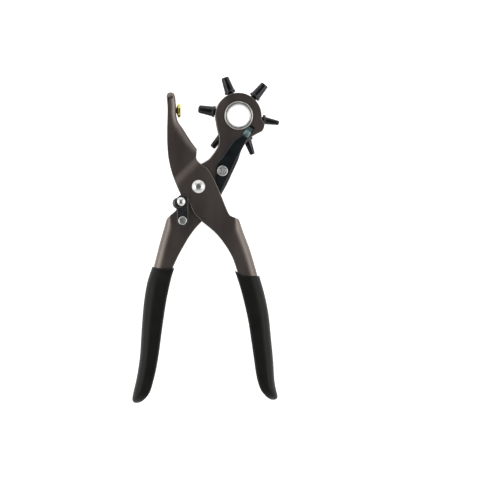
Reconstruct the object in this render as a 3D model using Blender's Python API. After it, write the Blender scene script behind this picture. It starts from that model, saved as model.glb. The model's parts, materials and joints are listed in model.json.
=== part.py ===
"""Rotary leather hole punch: two crossed sheet-metal levers, one carrying a brass anvil, the other a six-tube turret.

The tool lies flat. +X and +Y span its plane, +Y runs from the handles to the jaws, and +Z is its thickness.
The origin is on the main pivot's axis, at the level of the surface that the tool lies on.
Dimensions below are in millimetres, and MM turns them into Blender's metres.
"""

import math

import bmesh
import bpy
from mathutils import Matrix, Vector

MM = 0.001

# ---- Layers through the thickness, as distances from the tool's middle plane ----
MIDDLE = 10.9  # height of the middle plane above the surface that the tool lies on
SHEET = 1.8  # thickness of both levers' sheet steel
GAP = 0.3  # running and mating clearance between neighbouring pieces
HUB_HALF = 4.0
WASHER = 0.6
INNER_HALF = HUB_HALF + GAP + WASHER + GAP  # inside of the turret lever's cheeks
INNER_OUT = INNER_HALF + SHEET
OUTER_HALF = INNER_OUT + GAP  # inside of the anvil lever's cheeks where the levers cross
OUTER_OUT = OUTER_HALF + SHEET
JAW_HALF = 5.0  # inside of the anvil lever's cheeks in its narrower jaw
JAW_OUT = JAW_HALF + SHEET
LATCH_LOW = OUTER_OUT + GAP
LATCH_PLATE = 1.5
LATCH_TOP = LATCH_LOW + LATCH_PLATE

# ---- Main pivot ----
PIVOT_HOLE = 2.5
PIVOT_SHANK = PIVOT_HOLE - GAP
PIVOT_HEAD = 4.8
BUSH_OUTER = 3.5

# ---- Turret ----
TURRET = (27.7, 48.9)
RING_CENTRE = (27.4, 48.6)
RING_RADIUS = 16.1
HUB_RADIUS = 15.8
TUBE_TIP = 28.3  # distance of the cutting edges from the turret's axis
TUBE_COLLAR = (16.4, 18.4)
TUBE_SHANK_START = 10.6
TUBE_SHANK = 2.3
TUBE_SOCKET = TUBE_SHANK + GAP
TUBE_SOCKET_START = 10.2
FIRST_TUBE_ANGLE = 170.0  # the tube that faces the anvil
TUBE_STEP = 60.0
SMALLEST_STOUT_BORE = 3.0  # tubes with a bigger hole than this have the thicker body
STOUT_TUBE = (3.4, 2.65, 0.2)  # radius at the collar, least radius near the tip, least shoulder round the edge
SLIM_TUBE = (2.55, 1.6, 0.4)
TUBE_BORES = (3.2, 4.0, 4.8, 2.0, 2.4, 2.8)  # hole diameters, going clockwise from the tube that faces the anvil
DIMPLE_RADIUS = 1.6
DIMPLE_RISE = 0.7  # height of a dimple's ball above the hub's face
EYELET_BORE = 7.4
EYELET_BARREL = 8.4
EYELET_FLANGE = 9.8
EYELET_HOLE = EYELET_BARREL + GAP
WASHER_OUTER = 10.4

# ---- Index spring: a leaf from its rivet to a nose above the hub's dimples ----
SPRING_ROOT = (16.5, 10.8)
SPRING_ANGLE = 57.0
SPRING_SHEET = 0.8
SPRING_LOW = INNER_OUT + 2 * GAP
SPRING_RIVET_HOLE = 1.8
SPRING_RIVET_HEAD = 3.8
SPRING_NOSE = (34.2, -0.6)  # place of the nose along the leaf from the rivet, and to its left
WINDOW = (26.5, 37.2, 2.75)  # start, end and half-width of the window in the cheek, along the leaf

# ---- Anvil ----
ANVIL_FACE = (-12.35, 52.6)
ANVIL_RADIUS = 4.7
ANVIL_THICKNESS = 2.0
ANVIL_NECK = 1.85
WEB_FACE_X = -15.4  # outer face of the jaw's web beside the anvil

# ---- Latch ----
LATCH_PIVOT = (-10.9, -23.4)
LATCH_STUD = (-12.1, -10.4)
LATCH_HALF_WIDTH = 3.85
LATCH_THUMB = (-14.0, -11.5)
LATCH_THUMB_RADIUS = 3.9
LATCH_STUD_HOLE = 1.5
LATCH_STUD_SHANK = LATCH_STUD_HOLE - GAP
LATCH_HEAD_TOP = -5.9

# ---- Grips ----
GRIP_HALF = MIDDLE
GRIP_EDGE = 2.5  # rounding of the grips' long edges
TANG_END_ROOM = 1.5  # free length past a handle's end inside its grip
BEND = 4.0  # rounding of the handles' folded edges
JAW_BEND = 2.4  # rounding of the anvil jaw's folded edges

# ---- Hollows of the two folded levers ----
BEYOND = 70.0  # a distance past every outline, for the open sides of the hollows
HOLLOW_END = -140.0  # the hollows run past the handles' lower ends
JAW_END_WALL = 61.2  # the anvil jaw's end is closed above this height

# ---- The anvil lever's cheeks step outwards between these distances along JOGGLE_NORMAL ----
JOGGLE_NORMAL = Vector((-0.78, 0.626)).normalized()
JOGGLE_START = 12.1
JOGGLE_END = 15.6


# ---------------------------------------------------------------- helpers


def clear_scene():
    for obj in list(bpy.data.objects):
        bpy.data.objects.remove(obj)


def material(name, colour, roughness, metallic):
    made = bpy.data.materials.new(name)
    made.use_nodes = True
    shader = made.node_tree.nodes["Principled BSDF"]
    shader.inputs["Base Color"].default_value = (*colour, 1.0)
    shader.inputs["Roughness"].default_value = roughness
    shader.inputs["Metallic"].default_value = metallic
    return made


def smooth_run(points, steps=2):
    """Points on a smooth curve through the given ones, ends included."""
    if len(points) < 3:
        return [Vector(p) for p in points]
    known = [Vector(p) for p in points]
    ends = [2 * known[0] - known[1]] + known + [2 * known[-1] - known[-2]]
    made = []
    for before, start, end, after in zip(ends, ends[1:], ends[2:], ends[3:]):
        for step in range(steps):
            t = step / steps
            made.append(
                0.5
                * (
                    2 * start
                    + (end - before) * t
                    + (2 * before - 5 * start + 4 * end - after) * t * t
                    + (3 * start - before - 3 * end + after) * t**3
                )
            )
    made.append(known[-1])
    return made


def arc(centre, radius, start, end, count):
    """Points on an arc between two angles in degrees, ends included."""
    made = []
    for index in range(count + 1):
        angle = math.radians(start + (end - start) * index / count)
        made.append(Vector((centre[0] + radius * math.cos(angle), centre[1] + radius * math.sin(angle))))
    return made


def joined(*runs):
    """One closed outline from runs whose ends meet, without repeated points."""
    points = []
    for run in runs:
        for point in run:
            if not points or (Vector(point) - points[-1]).length > 0.05:
                points.append(Vector(point))
    if (points[0] - points[-1]).length < 0.05:
        points.pop()
    return points


def parent_empty(name, at, parent=None):
    """An empty on a joint's axis. Its children's meshes are made around it."""
    empty = bpy.data.objects.new(name, None)
    empty.location = Vector(at) * MM
    empty.parent = parent
    bpy.context.scene.collection.objects.link(empty)
    return empty


def add_object(name, mesh_data, look=None, parent=None, location=(0, 0, 0), rotation=(0, 0, 0)):
    obj = bpy.data.objects.new(name, mesh_data)
    obj.location = Vector(location) * MM
    obj.rotation_euler = rotation
    obj.parent = parent
    if look:
        mesh_data.materials.append(look)
    bpy.context.scene.collection.objects.link(obj)
    return obj


def mesh_from(name, bm, smooth=True):
    """A mesh in metres from a bmesh in millimetres, with outward faces."""
    bmesh.ops.recalc_face_normals(bm, faces=bm.faces)
    bmesh.ops.scale(bm, vec=(MM, MM, MM), verts=bm.verts)
    made = bpy.data.meshes.new(name)
    bm.to_mesh(made)
    bm.free()
    if smooth:
        made.shade_smooth()
        made.set_sharp_from_angle(angle=math.radians(35))
    return made


def prism(outline, low, high):
    """A bmesh: the outline extruded from one level to another."""
    bm = bmesh.new()
    bottom = [bm.verts.new((p[0], p[1], low)) for p in outline]
    top = [bm.verts.new((p[0], p[1], high)) for p in outline]
    bm.faces.new(bottom)
    bm.faces.new(top)
    for index in range(len(outline)):
        after = (index + 1) % len(outline)
        bm.faces.new((bottom[index], bottom[after], top[after], top[index]))
    return bm


def turned(profile, steps):
    """A bmesh: a closed profile of (radius, height) turned about Z. Radius 0 is a point on the axis."""
    bm = bmesh.new()
    rings = []
    for radius, height in profile:
        if radius == 0:
            rings.append([bm.verts.new((0, 0, height))])
            continue
        ring = []
        for step in range(steps):
            angle = 2 * math.pi * step / steps
            ring.append(bm.verts.new((radius * math.cos(angle), radius * math.sin(angle), height)))
        rings.append(ring)
    pairs = list(zip(rings, rings[1:]))
    if profile[0][0] != 0:
        pairs.append((rings[-1], rings[0]))
    for first, second in pairs:
        for step in range(steps):
            after = (step + 1) % steps
            corners = [first[step % len(first)], first[after % len(first)]]
            corners += [second[after % len(second)], second[step % len(second)]]
            unique = list(dict.fromkeys(corners))
            if len(unique) > 2:
                bm.faces.new(unique)
    return bm


def ring_profile(inner, outer, low, high):
    return [(inner, low), (outer, low), (outer, high), (inner, high)]


def folded_prism(outline, half, folds):
    """A prism of the outline with rounded long edges, where folds lists (points of the outline, radius)."""
    radius_at = {}
    for path, radius in folds:
        radius_at.update({point.to_tuple(3): radius for point in path})
    widest = max(radius for _, radius in folds)
    count = len(outline)
    radii = [radius_at.get(point.to_tuple(3), 0.0) for point in outline]
    inward = []
    for index, point in enumerate(outline):
        before = (point - outline[index - 1]).normalized()
        after = (outline[(index + 1) % count] - point).normalized()
        if radii[index - 1] == 0:
            inward.append(-before)
        elif radii[(index + 1) % count] == 0:
            inward.append(after)
        else:
            inward.append(Vector((before.y + after.y, -before.x - after.x)).normalized())
    levels = [(side, angle) for side in (-1, 1) for angle in (0, 45, 90)]
    levels.sort(key=lambda level: level[0] * (1 + level[1]))
    bm = bmesh.new()
    rings = []
    for side, angle in levels:
        ring = []
        for point, radius, direction in zip(outline, radii, inward):
            moved = point + direction * radius * (1 - math.cos(math.radians(angle)))
            height = half - (radius or widest) * (1 - math.sin(math.radians(angle)))
            ring.append(bm.verts.new((moved.x, moved.y, side * height)))
        rings.append(ring)
    for lower, upper in zip(rings, rings[1:]):
        for index in range(count):
            after = (index + 1) % count
            bm.faces.new((lower[index], lower[after], upper[after], upper[index]))
    bm.faces.new(rings[0])
    bm.faces.new(rings[-1])
    return bm


def cut(target, cutter_bm, name, operation="DIFFERENCE", parent=None, location=(0, 0, 0), rotation=(0, 0, 0)):
    cutter = add_object(name, mesh_from(name, cutter_bm, False), None, parent, location, rotation)
    cutter.hide_render = True
    cutter.display_type = "WIRE"
    boolean = target.modifiers.new(name, "BOOLEAN")
    boolean.operation = operation
    boolean.solver = "EXACT"
    boolean.object = cutter
    return cutter


def hole_cutter(radius, low, high, steps=24):
    return turned([(0, low), (radius, low), (radius, high), (0, high)], steps)


def along_spring(distance, aside=0.0):
    """A point in the plane, from the spring's rivet along the leaf and to its left."""
    angle = math.radians(SPRING_ANGLE)
    forward = Vector((math.cos(angle), math.sin(angle)))
    left = Vector((-math.sin(angle), math.cos(angle)))
    return Vector(SPRING_ROOT) + forward * distance + left * aside


def inside_of(path, thickness):
    """The path moved to its left by the sheet's thickness."""
    moved = []
    for index, point in enumerate(path):
        before = path[max(0, index - 1)]
        after = path[min(len(path) - 1, index + 1)]
        along = (after - before).normalized()
        moved.append(point + Vector((-along.y, along.x)) * thickness)
    return moved


# ---------------------------------------------------------------- outlines

ANVIL_JAW_FACE = [Vector((-17.8, 64.9)), Vector((-16.2, 62.6))] + smooth_run(
    [(-15.7, 58.6), (WEB_FACE_X, 54.1), (WEB_FACE_X, 49.9), (-14.1, 44.9), (-10.5, 39.6), (-5.5, 31.7), (-1.2, 25.8)]
)
ANVIL_HANDLE_BACK = smooth_run([(27.9, -22.5), (31.0, -31.6), (35.2, -42.7), (38.6, -53.9), (40.8, -61.7)])
ANVIL_TANG_BACK = smooth_run([(40.8, -61.7), (44.0, -75.6), (46.4, -88.9), (48.2, -106.0), (49.3, -119.8), (50.2, -133.0)])
ANVIL_TANG_FRONT = smooth_run(
    [(42.4, -134.5), (40.4, -118.0), (38.4, -105.7), (35.9, -89.9), (31.5, -71.2), (27.0, -59.0), (23.3, -48.6)]
)
ANVIL_OUTLINE = joined(
    smooth_run([(-21.2, 56.9), (-22.0, 61.6), (-21.6, 64.0)]),
    ANVIL_JAW_FACE,
    smooth_run([(-1.7, 20.6), (-1.0, 18.2), (1.7, 15.6), (6.1, 12.7), (9.1, 8.3), (11.6, 3.5), (14.1, -2.1)]),
    smooth_run([(14.1, -2.1), (16.6, -8.6), (20.6, -18.3)]),
    ANVIL_HANDLE_BACK,
    ANVIL_TANG_BACK,
    ANVIL_TANG_FRONT,
    smooth_run([(23.3, -48.6), (17.7, -39.2), (11.1, -31.3), (2.0, -23.7)]),
    smooth_run([(2.0, -23.7), (-2.0, -19.7), (-3.6, -17.8), (-5.5, -13.5), (-6.7, -9.9), (-8.3, -5.9)]),
    smooth_run([(-12.1, -5.9), (-14.9, 0.3), (-18.2, 8.9), (-20.5, 18.2), (-21.5, 27.8), (-21.7, 38.9), (-21.2, 56.9)]),
)

TURRET_HANDLE_BACK = smooth_run([(-31.0, -55.6), (-26.2, -36.9), (-21.9, -22.1)])
TURRET_TANG_BACK = smooth_run(
    [(-40.2, -134.5), (-39.6, -126.0), (-38.4, -115.3), (-37.2, -96.4), (-35.7, -79.3), (-33.5, -66.0), (-31.0, -55.6)]
)
TURRET_TANG_FRONT = smooth_run(
    [(-14.8, -48.7), (-18.3, -57.0), (-21.3, -66.0), (-24.2, -79.4), (-26.8, -96.6), (-29.2, -114.6), (-32.8, -134.5)]
)
TURRET_OUTLINE = joined(
    smooth_run([(1.7, 15.6), (6.6, 18.5), (8.9, 20.9), (11.7, 24.8), (13.8, 29.0), (13.9, 34.6), (12.4, 41.5), (11.3, 48.0)]),
    arc(RING_CENTRE, RING_RADIUS, 182.0, -7.0, 22),
    smooth_run([(43.4, 46.6), (45.2, 43.9), (45.3, 41.1), (43.9, 38.5), (40.6, 36.8), (36.4, 34.2), (31.8, 29.2)]),
    smooth_run([(31.8, 29.2), (29.5, 24.8), (27.3, 18.2), (23.9, 10.8), (19.6, 1.6), (15.6, -5.8)]),
    smooth_run([(15.6, -5.8), (9.5, -16.0), (2.0, -23.7), (-3.1, -28.7), (-7.3, -34.5), (-11.3, -41.7), (-14.8, -48.7)]),
    TURRET_TANG_FRONT,
    TURRET_TANG_BACK,
    TURRET_HANDLE_BACK,
    smooth_run([(-15.2, -15.7), (-12.9, -10.0), (-11.6, -5.0)]),
    arc((0, 0), 11.0, 196.0, 105.0, 10),
)

GRIP_LEFT_SIDE = joined(
    smooth_run(
        [(-16.8, -56.4), (-19.4, -64.9), (-22.3, -79.1), (-24.9, -96.3), (-27.3, -114.3), (-31.0, -133.5), (-34.2, -142.2)]
    ),
    smooth_run([(-34.2, -142.2), (-37.8, -147.2), (-42.0, -149.4), (-45.4, -147.6), (-45.2, -142.6)]),
    smooth_run(
        [(-45.2, -142.6), (-42.2, -129.5), (-40.3, -115.2), (-39.1, -96.3), (-37.6, -79.1), (-35.3, -65.6), (-32.0, -55.4)]
    ),
)
GRIP_RIGHT_SIDE = joined(
    smooth_run(
        [(42.1, -61.9), (45.8, -75.3), (48.4, -88.7), (50.2, -106.0), (51.5, -119.8), (52.6, -133.7), (54.3, -141.4)]
    ),
    smooth_run([(54.3, -141.4), (54.3, -144.9), (52.2, -147.1), (49.2, -146.8), (45.9, -144.2), (43.0, -139.4)]),
    smooth_run(
        [(43.0, -139.4), (40.3, -131.0), (38.2, -118.3), (36.4, -106.0), (33.7, -90.3), (29.4, -71.6), (25.2, -58.4)]
    ),
)


def pocket_round(first, second):
    """The hollow round a tang: its two long sides moved outwards by the gap, and room past its end."""
    first = inside_of(first, GAP)
    second = inside_of(second, GAP)
    below = Vector((0, -TANG_END_ROOM))
    return joined(first, [first[-1] + below, second[0] + below], second)


ANVIL_TANG_POCKET = pocket_round(ANVIL_HANDLE_BACK[-6:-1] + ANVIL_TANG_BACK, ANVIL_TANG_FRONT)
TURRET_TANG_POCKET = pocket_round(TURRET_TANG_FRONT, TURRET_TANG_BACK + TURRET_HANDLE_BACK[1:3])


# ---------------------------------------------------------------- the levers


def step_cheeks(bm, wide, narrow):
    """Narrows a prism of half-height `wide` to `narrow` on the jaw's side of the joggle."""
    for distance in (JOGGLE_START, JOGGLE_END):
        point = (*(JOGGLE_NORMAL * distance), 0)
        every = bm.verts[:] + bm.edges[:] + bm.faces[:]
        bmesh.ops.bisect_plane(bm, geom=every, dist=0.001, plane_co=point, plane_no=(*JOGGLE_NORMAL, 0))
    for vert in bm.verts:
        along = (vert.co.xy.dot(JOGGLE_NORMAL) - JOGGLE_START) / (JOGGLE_END - JOGGLE_START)
        half = wide + (narrow - wide) * min(1.0, max(0.0, along))
        vert.co.z *= half / wide


def anvil_lever(look, body):
    """A channel with its web along the jaw's inner side and the handle's back, and two free cheeks at the crossing."""
    folds = ((ANVIL_JAW_FACE, JAW_BEND), (ANVIL_HANDLE_BACK + ANVIL_TANG_BACK, BEND))
    bm = folded_prism(ANVIL_OUTLINE, OUTER_OUT, folds)
    step_cheeks(bm, OUTER_OUT, JAW_OUT)
    lever = add_object("anvil_lever", mesh_from("anvil_lever", bm), look, body)
    jaw_inside = [Vector((-19.2, JAW_END_WALL))] + inside_of(ANVIL_JAW_FACE[2:], -SHEET)
    handle_inside = inside_of(ANVIL_HANDLE_BACK + ANVIL_TANG_BACK[1:], -SHEET)
    hollow = jaw_inside + [Vector((BEYOND, jaw_inside[-1].y)), Vector((BEYOND, handle_inside[0].y))]
    hollow += handle_inside + [Vector((handle_inside[-1].x, HOLLOW_END)), Vector((-BEYOND, HOLLOW_END))]
    hollow += [Vector((-BEYOND, JAW_END_WALL))]
    cavity = prism(hollow, -OUTER_HALF, OUTER_HALF)
    step_cheeks(cavity, OUTER_HALF, JAW_HALF)
    cut(lever, cavity, "anvil_lever_hollow", parent=body)
    cut(lever, hole_cutter(PIVOT_HOLE, -2 * MIDDLE, 2 * MIDDLE), "anvil_lever_pivot_hole", parent=body)
    neck = hole_cutter(ANVIL_NECK + GAP, -2 * SHEET, 2 * SHEET, 16)
    at = (WEB_FACE_X - SHEET / 2, ANVIL_FACE[1], 0)
    cut(lever, neck, "anvil_lever_anvil_hole", parent=body, location=at, rotation=(0, math.radians(90), 0))
    return lever


def turret_lever(look, body):
    """Two cheeks that hold the turret, folded into a channel with its web along the handle's back."""
    bm = folded_prism(TURRET_OUTLINE, INNER_OUT, ((TURRET_HANDLE_BACK + TURRET_TANG_BACK, BEND),))
    lever = add_object("turret_lever", mesh_from("turret_lever", bm), look, body)
    web_inside = inside_of(TURRET_TANG_BACK[:-1] + TURRET_HANDLE_BACK, -SHEET)
    hollow = [Vector((web_inside[0].x, HOLLOW_END))] + web_inside
    hollow += [Vector((-BEYOND, web_inside[-1].y)), Vector((-BEYOND, BEYOND)), Vector((BEYOND, BEYOND))]
    hollow += [Vector((BEYOND, HOLLOW_END))]
    cut(lever, prism(hollow, -INNER_HALF, INNER_HALF), "turret_lever_hollow", parent=body)
    through = 2 * INNER_OUT
    holes = (
        ("pivot", (0, 0), PIVOT_HOLE, -through),
        ("eyelet", TURRET, EYELET_HOLE, -through),
        ("spring_rivet", SPRING_ROOT, SPRING_RIVET_HOLE, -through),
        ("latch_rivet", LATCH_PIVOT, SPRING_RIVET_HOLE, 0.0),
    )
    for name, at, radius, low in holes:
        cutter = hole_cutter(radius, low, through, 32 if radius > PIVOT_HOLE else 16)
        cut(lever, cutter, f"turret_lever_{name}_hole", parent=body, location=(*at, 0))
    start, end, half = WINDOW
    corners = [along_spring(start, -half), along_spring(end, -half), along_spring(end, half), along_spring(start, half)]
    cut(lever, prism(corners, 0.0, through), "turret_lever_window", parent=body)
    return lever


# ---------------------------------------------------------------- pivot, anvil and opening spring


def pivot_rivet(look, body):
    front = OUTER_OUT + GAP
    profile = [
        (0, front + 2.0),
        (1.9, front + 2.0),
        (2.2, front + 1.6),
        (4.0, front + 1.4),
        (PIVOT_HEAD, front + 0.7),
        (PIVOT_HEAD, front),
        (PIVOT_SHANK, front),
        (PIVOT_SHANK, -front),
        (PIVOT_HEAD, -front),
        (PIVOT_HEAD, -front - 0.9),
        (PIVOT_HEAD - 0.6, -MIDDLE),
        (0, -MIDDLE),
    ]
    return add_object("pivot_rivet", mesh_from("pivot_rivet", turned(profile, 28)), look, body)


def pivot_bush(look, body):
    half = INNER_HALF - GAP
    bm = turned(ring_profile(PIVOT_HOLE, BUSH_OUTER, -half, half), 24)
    return add_object("pivot_bush", mesh_from("pivot_bush", bm), look, body)


def anvil_pad(look, body):
    """A turned brass disc on a neck that passes through the jaw's web. Its axis is along X."""
    foot = WEB_FACE_X + GAP - ANVIL_FACE[0]
    tail = foot - GAP - SHEET - GAP
    profile = [
        (0, 0),
        (ANVIL_RADIUS - 0.5, 0),
        (ANVIL_RADIUS, -0.5),
        (ANVIL_RADIUS, -ANVIL_THICKNESS + 0.4),
        (ANVIL_RADIUS - 0.4, -ANVIL_THICKNESS),
        (ANVIL_NECK + 0.8, -ANVIL_THICKNESS),
        (ANVIL_NECK + 0.8, foot),
        (ANVIL_NECK, foot),
        (ANVIL_NECK, tail),
        (ANVIL_NECK + 0.9, tail),
        (ANVIL_NECK + 0.6, tail - 0.6),
        (0, tail - 0.8),
    ]
    turn = (0, math.radians(90), 0)
    at = (*ANVIL_FACE, 0)
    return add_object("anvil_pad", mesh_from("anvil_pad", turned(profile, 24)), look, body, at, turn)


def opening_spring(look, body):
    """A torsion spring round the bush, with its legs at the angle that they have when the handles are closed."""
    wire, radius, pitch, per_turn, whole_turns = 0.7, 5.1, 1.45, 14, 4
    leg_ends = (Vector((25.2, -28.0)), Vector((-13.6, -32.0)))
    angles = [math.atan2(end.y, end.x) for end in leg_ends]
    start = angles[0] + math.acos(radius / leg_ends[0].length)
    finish = angles[1] - math.acos(radius / leg_ends[1].length) + 2 * math.pi * (whole_turns + 1)
    steps = round((finish - start) / (2 * math.pi) * per_turn)
    coil = []
    for step in range(steps + 1):
        angle = start + (finish - start) * step / steps
        height = pitch * (angle - (start + finish) / 2) / (2 * math.pi)
        coil.append(Vector((radius * math.cos(angle), radius * math.sin(angle), height)))
    route = [Vector((*leg_ends[0], coil[0].z))] + coil + [Vector((*leg_ends[1], coil[-1].z))]
    curve = bpy.data.curves.new("opening_spring", "CURVE")
    curve.dimensions = "3D"
    curve.bevel_depth = wire * MM
    curve.bevel_resolution = 1
    curve.use_fill_caps = True
    spline = curve.splines.new("POLY")
    spline.points.add(len(route) - 1)
    for point, place in zip(spline.points, route):
        point.co = (*(place * MM), 1)
    return add_object("opening_spring", curve, look, body)


# ---------------------------------------------------------------- turret


def hub(look, turret):
    bm = turned(
        [
            (EYELET_HOLE, -HUB_HALF),
            (HUB_RADIUS - 0.6, -HUB_HALF),
            (HUB_RADIUS, -HUB_HALF + 0.6),
            (HUB_RADIUS, HUB_HALF - 0.6),
            (HUB_RADIUS - 0.6, HUB_HALF),
            (EYELET_HOLE, HUB_HALF),
        ],
        48,
    )
    made = add_object("turret_hub", mesh_from("turret_hub", bm), look, turret)
    nose = along_spring(*SPRING_NOSE) - Vector(TURRET)
    for index in range(len(TUBE_BORES)):
        angle = math.radians(FIRST_TUBE_ANGLE - TUBE_STEP * index)
        socket = hole_cutter(TUBE_SOCKET, TUBE_SOCKET_START, HUB_RADIUS + 2, 16)
        cut(made, socket, f"socket_{index + 1}", parent=turret, rotation=(0, math.radians(90), angle))
        dimple = bmesh.new()
        bmesh.ops.create_uvsphere(dimple, u_segments=10, v_segments=6, radius=DIMPLE_RADIUS)
        turn = Matrix.Rotation(math.radians(TUBE_STEP * index), 2)
        at = turn @ nose
        cut(made, dimple, f"dimple_{index + 1}", parent=turret, location=(at.x, at.y, HUB_HALF + DIMPLE_RISE))
    return made


def punch_tube(index, bore, look, turret):
    """A screw-in tube with a collar and a tapered nose, hollow from end to end. Its axis is along its own Z."""
    low, high = TUBE_COLLAR
    edge = bore / 2 + 0.25
    body_base, least_tip, shoulder = STOUT_TUBE if bore > SMALLEST_STOUT_BORE else SLIM_TUBE
    body_tip = max(edge + shoulder, least_tip)
    profile = [
        (0.9, TUBE_SHANK_START),
        (TUBE_SHANK, TUBE_SHANK_START),
        (TUBE_SHANK, low),
        (3.7, low),
        (3.9, low + 0.4),
        (3.9, high - 0.4),
        (3.6, high),
        (body_base, high),
        (body_tip, TUBE_TIP - 0.7),
        (edge, TUBE_TIP),
        (bore / 2, TUBE_TIP),
        (bore / 2, TUBE_TIP - 6.0),
        (0.9, TUBE_TIP - 8.0),
    ]
    angle = math.radians(FIRST_TUBE_ANGLE - TUBE_STEP * index)
    name = f"punch_tube_{bore:.1f}mm".replace(".", "_")
    bm = turned(profile, 16)
    turn = (0, math.radians(90), angle)
    return add_object(name, mesh_from(name, bm), look, turret, rotation=turn)


def eyelet(look, lever_body):
    """The turret's hollow axle rivet, with a rolled flange outside each cheek."""
    low = INNER_OUT + GAP
    profile = []
    for side in (-1, 1):
        flange = [
            (EYELET_BARREL, side * low),
            (EYELET_FLANGE, side * low),
            (EYELET_FLANGE, side * (low + 0.7)),
            (EYELET_FLANGE - 0.6, side * (low + 1.3)),
            (EYELET_BORE + 0.4, side * (low + 1.1)),
            (EYELET_BORE, side * (low + 0.6)),
        ]
        profile += flange if side > 0 else flange[::-1]
    bm = turned(profile, 32)
    return add_object("turret_eyelet", mesh_from("turret_eyelet", bm), look, lever_body, (*TURRET, 0))


def turret_washer(name, side, look, lever_body):
    middle = side * (HUB_HALF + GAP + WASHER / 2)
    bm = turned(ring_profile(EYELET_HOLE, WASHER_OUTER, middle - WASHER / 2, middle + WASHER / 2), 32)
    return add_object(name, mesh_from(name, bm), look, lever_body, (*TURRET, 0))


# ---------------------------------------------------------------- index spring


def index_spring(look, lever_body):
    """A flat leaf, wide at its rivet, that narrows and dips through the window to its nose."""
    tip_low = INNER_HALF + 0.05
    stations = [  # distance along the leaf, left half-width, right half-width, underside's height
        (-11.6, -5.2, 6.6, SPRING_LOW),
        (-8.6, -0.6, 6.4, SPRING_LOW),
        (-5.5, 1.9, 6.1, SPRING_LOW),
        (-3.0, 3.7, 5.8, SPRING_LOW),
        (0.5, 5.7, 5.4, SPRING_LOW),
        (4.7, 5.6, 4.7, SPRING_LOW),
        (10.8, 5.0, 3.9, SPRING_LOW),
        (18.0, 4.9, 3.2, SPRING_LOW),
        (22.5, 4.4, 2.8, SPRING_LOW),
        (28.2, 2.4, 2.4, SPRING_LOW - 0.3),
        (32.6, 2.35, 2.35, tip_low + 0.3),
        (33.6, 2.3, 2.3, tip_low),
        (35.6, 2.2, 2.2, tip_low),
    ]
    bm = bmesh.new()
    rings = []
    for along, left, right, low in stations:
        ring = []
        for aside, height in ((left, low), (-right, low), (-right, low + SPRING_SHEET), (left, low + SPRING_SHEET)):
            ring.append(bm.verts.new((along, aside, height)))
        rings.append(ring)
    for first, second in zip(rings, rings[1:]):
        for index in range(4):
            after = (index + 1) % 4
            bm.faces.new((first[index], first[after], second[after], second[index]))
    bm.faces.new(rings[0])
    bm.faces.new(rings[-1])
    turn = (0, 0, math.radians(SPRING_ANGLE))
    leaf = add_object("index_spring", mesh_from("index_spring", bm), look, lever_body, (*SPRING_ROOT, 0), turn)
    hole = hole_cutter(SPRING_RIVET_HOLE, SPRING_LOW - 1, SPRING_LOW + 2, 16)
    cut(leaf, hole, "index_spring_hole", parent=lever_body, location=(*SPRING_ROOT, 0))
    nose = turned([(0, HUB_HALF + GAP), (0.7, HUB_HALF + GAP + 0.15), (1.2, tip_low + 0.3), (0, tip_low + 0.3)], 12)
    cut(leaf, nose, "index_spring_nose", "UNION", lever_body, (*along_spring(*SPRING_NOSE), 0))
    return leaf


def index_spring_rivet(look, lever_body):
    front = SPRING_LOW + SPRING_SHEET + GAP
    back = -INNER_OUT - GAP
    shank = SPRING_RIVET_HOLE - GAP
    profile = [
        (0, front + 1.0),
        (3.0, front + 1.0),
        (SPRING_RIVET_HEAD - 0.4, front + 1.3),
        (SPRING_RIVET_HEAD, front + 0.8),
        (SPRING_RIVET_HEAD, front),
        (shank, front),
        (shank, back),
        (3.0, back),
        (2.6, back - 0.9),
        (0, back - 1.1),
    ]
    bm = turned(profile, 24)
    name = "index_spring_rivet"
    return add_object(name, mesh_from(name, bm), look, lever_body, (*SPRING_ROOT, 0))


def jaw_spacer(look, lever_body):
    half = INNER_HALF - GAP
    bm = turned(ring_profile(SPRING_RIVET_HOLE, 3.2, -half, half), 20)
    return add_object("jaw_spacer", mesh_from("jaw_spacer", bm), look, lever_body, (*SPRING_ROOT, 0))


# ---------------------------------------------------------------- latch


def latch_plate(look, latch):
    """A short lever with a round foot on its rivet, a square head and a thumb lobe. Made round its pivot."""
    pivot = Vector(LATCH_PIVOT)
    top = LATCH_HEAD_TOP - pivot.y
    thumb = Vector(LATCH_THUMB) - pivot
    w = LATCH_HALF_WIDTH
    outline = joined(
        arc((0, 0), w, 180.0, 360.0, 12),
        arc((w - 1.0, top - 1.0), 1.0, 0.0, 90.0, 4),
        arc((-w + 2.6, top - 1.6), 1.6, 90.0, 150.0, 4),
        arc(thumb, LATCH_THUMB_RADIUS, 100.0, 240.0, 10),
        [Vector((-w, thumb.y - LATCH_THUMB_RADIUS - 0.4))],
    )
    bm = prism(outline, LATCH_LOW, LATCH_TOP)
    plate = add_object("latch_plate", mesh_from("latch_plate", bm), look, latch)
    cut(plate, hole_cutter(SPRING_RIVET_HOLE, 0, 2 * MIDDLE, 16), "latch_pivot_hole", parent=latch)
    at = (*(Vector(LATCH_STUD) - pivot), 0)
    cut(plate, hole_cutter(LATCH_STUD_HOLE, 0, 2 * MIDDLE, 16), "latch_stud_hole", parent=latch, location=at)
    return plate


def latch_stud(look, latch):
    front = LATCH_TOP + GAP
    profile = [(0, front + 1.3), (1.9, front + 1.2), (2.8, front + 0.8), (3.05, front + 0.3), (3.05, front)]
    profile += [(LATCH_STUD_SHANK, front), (LATCH_STUD_SHANK, LATCH_LOW), (0, LATCH_LOW)]
    at = (*(Vector(LATCH_STUD) - Vector(LATCH_PIVOT)), 0)
    return add_object("latch_stud", mesh_from("latch_stud", turned(profile, 24)), look, latch, at)


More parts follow.
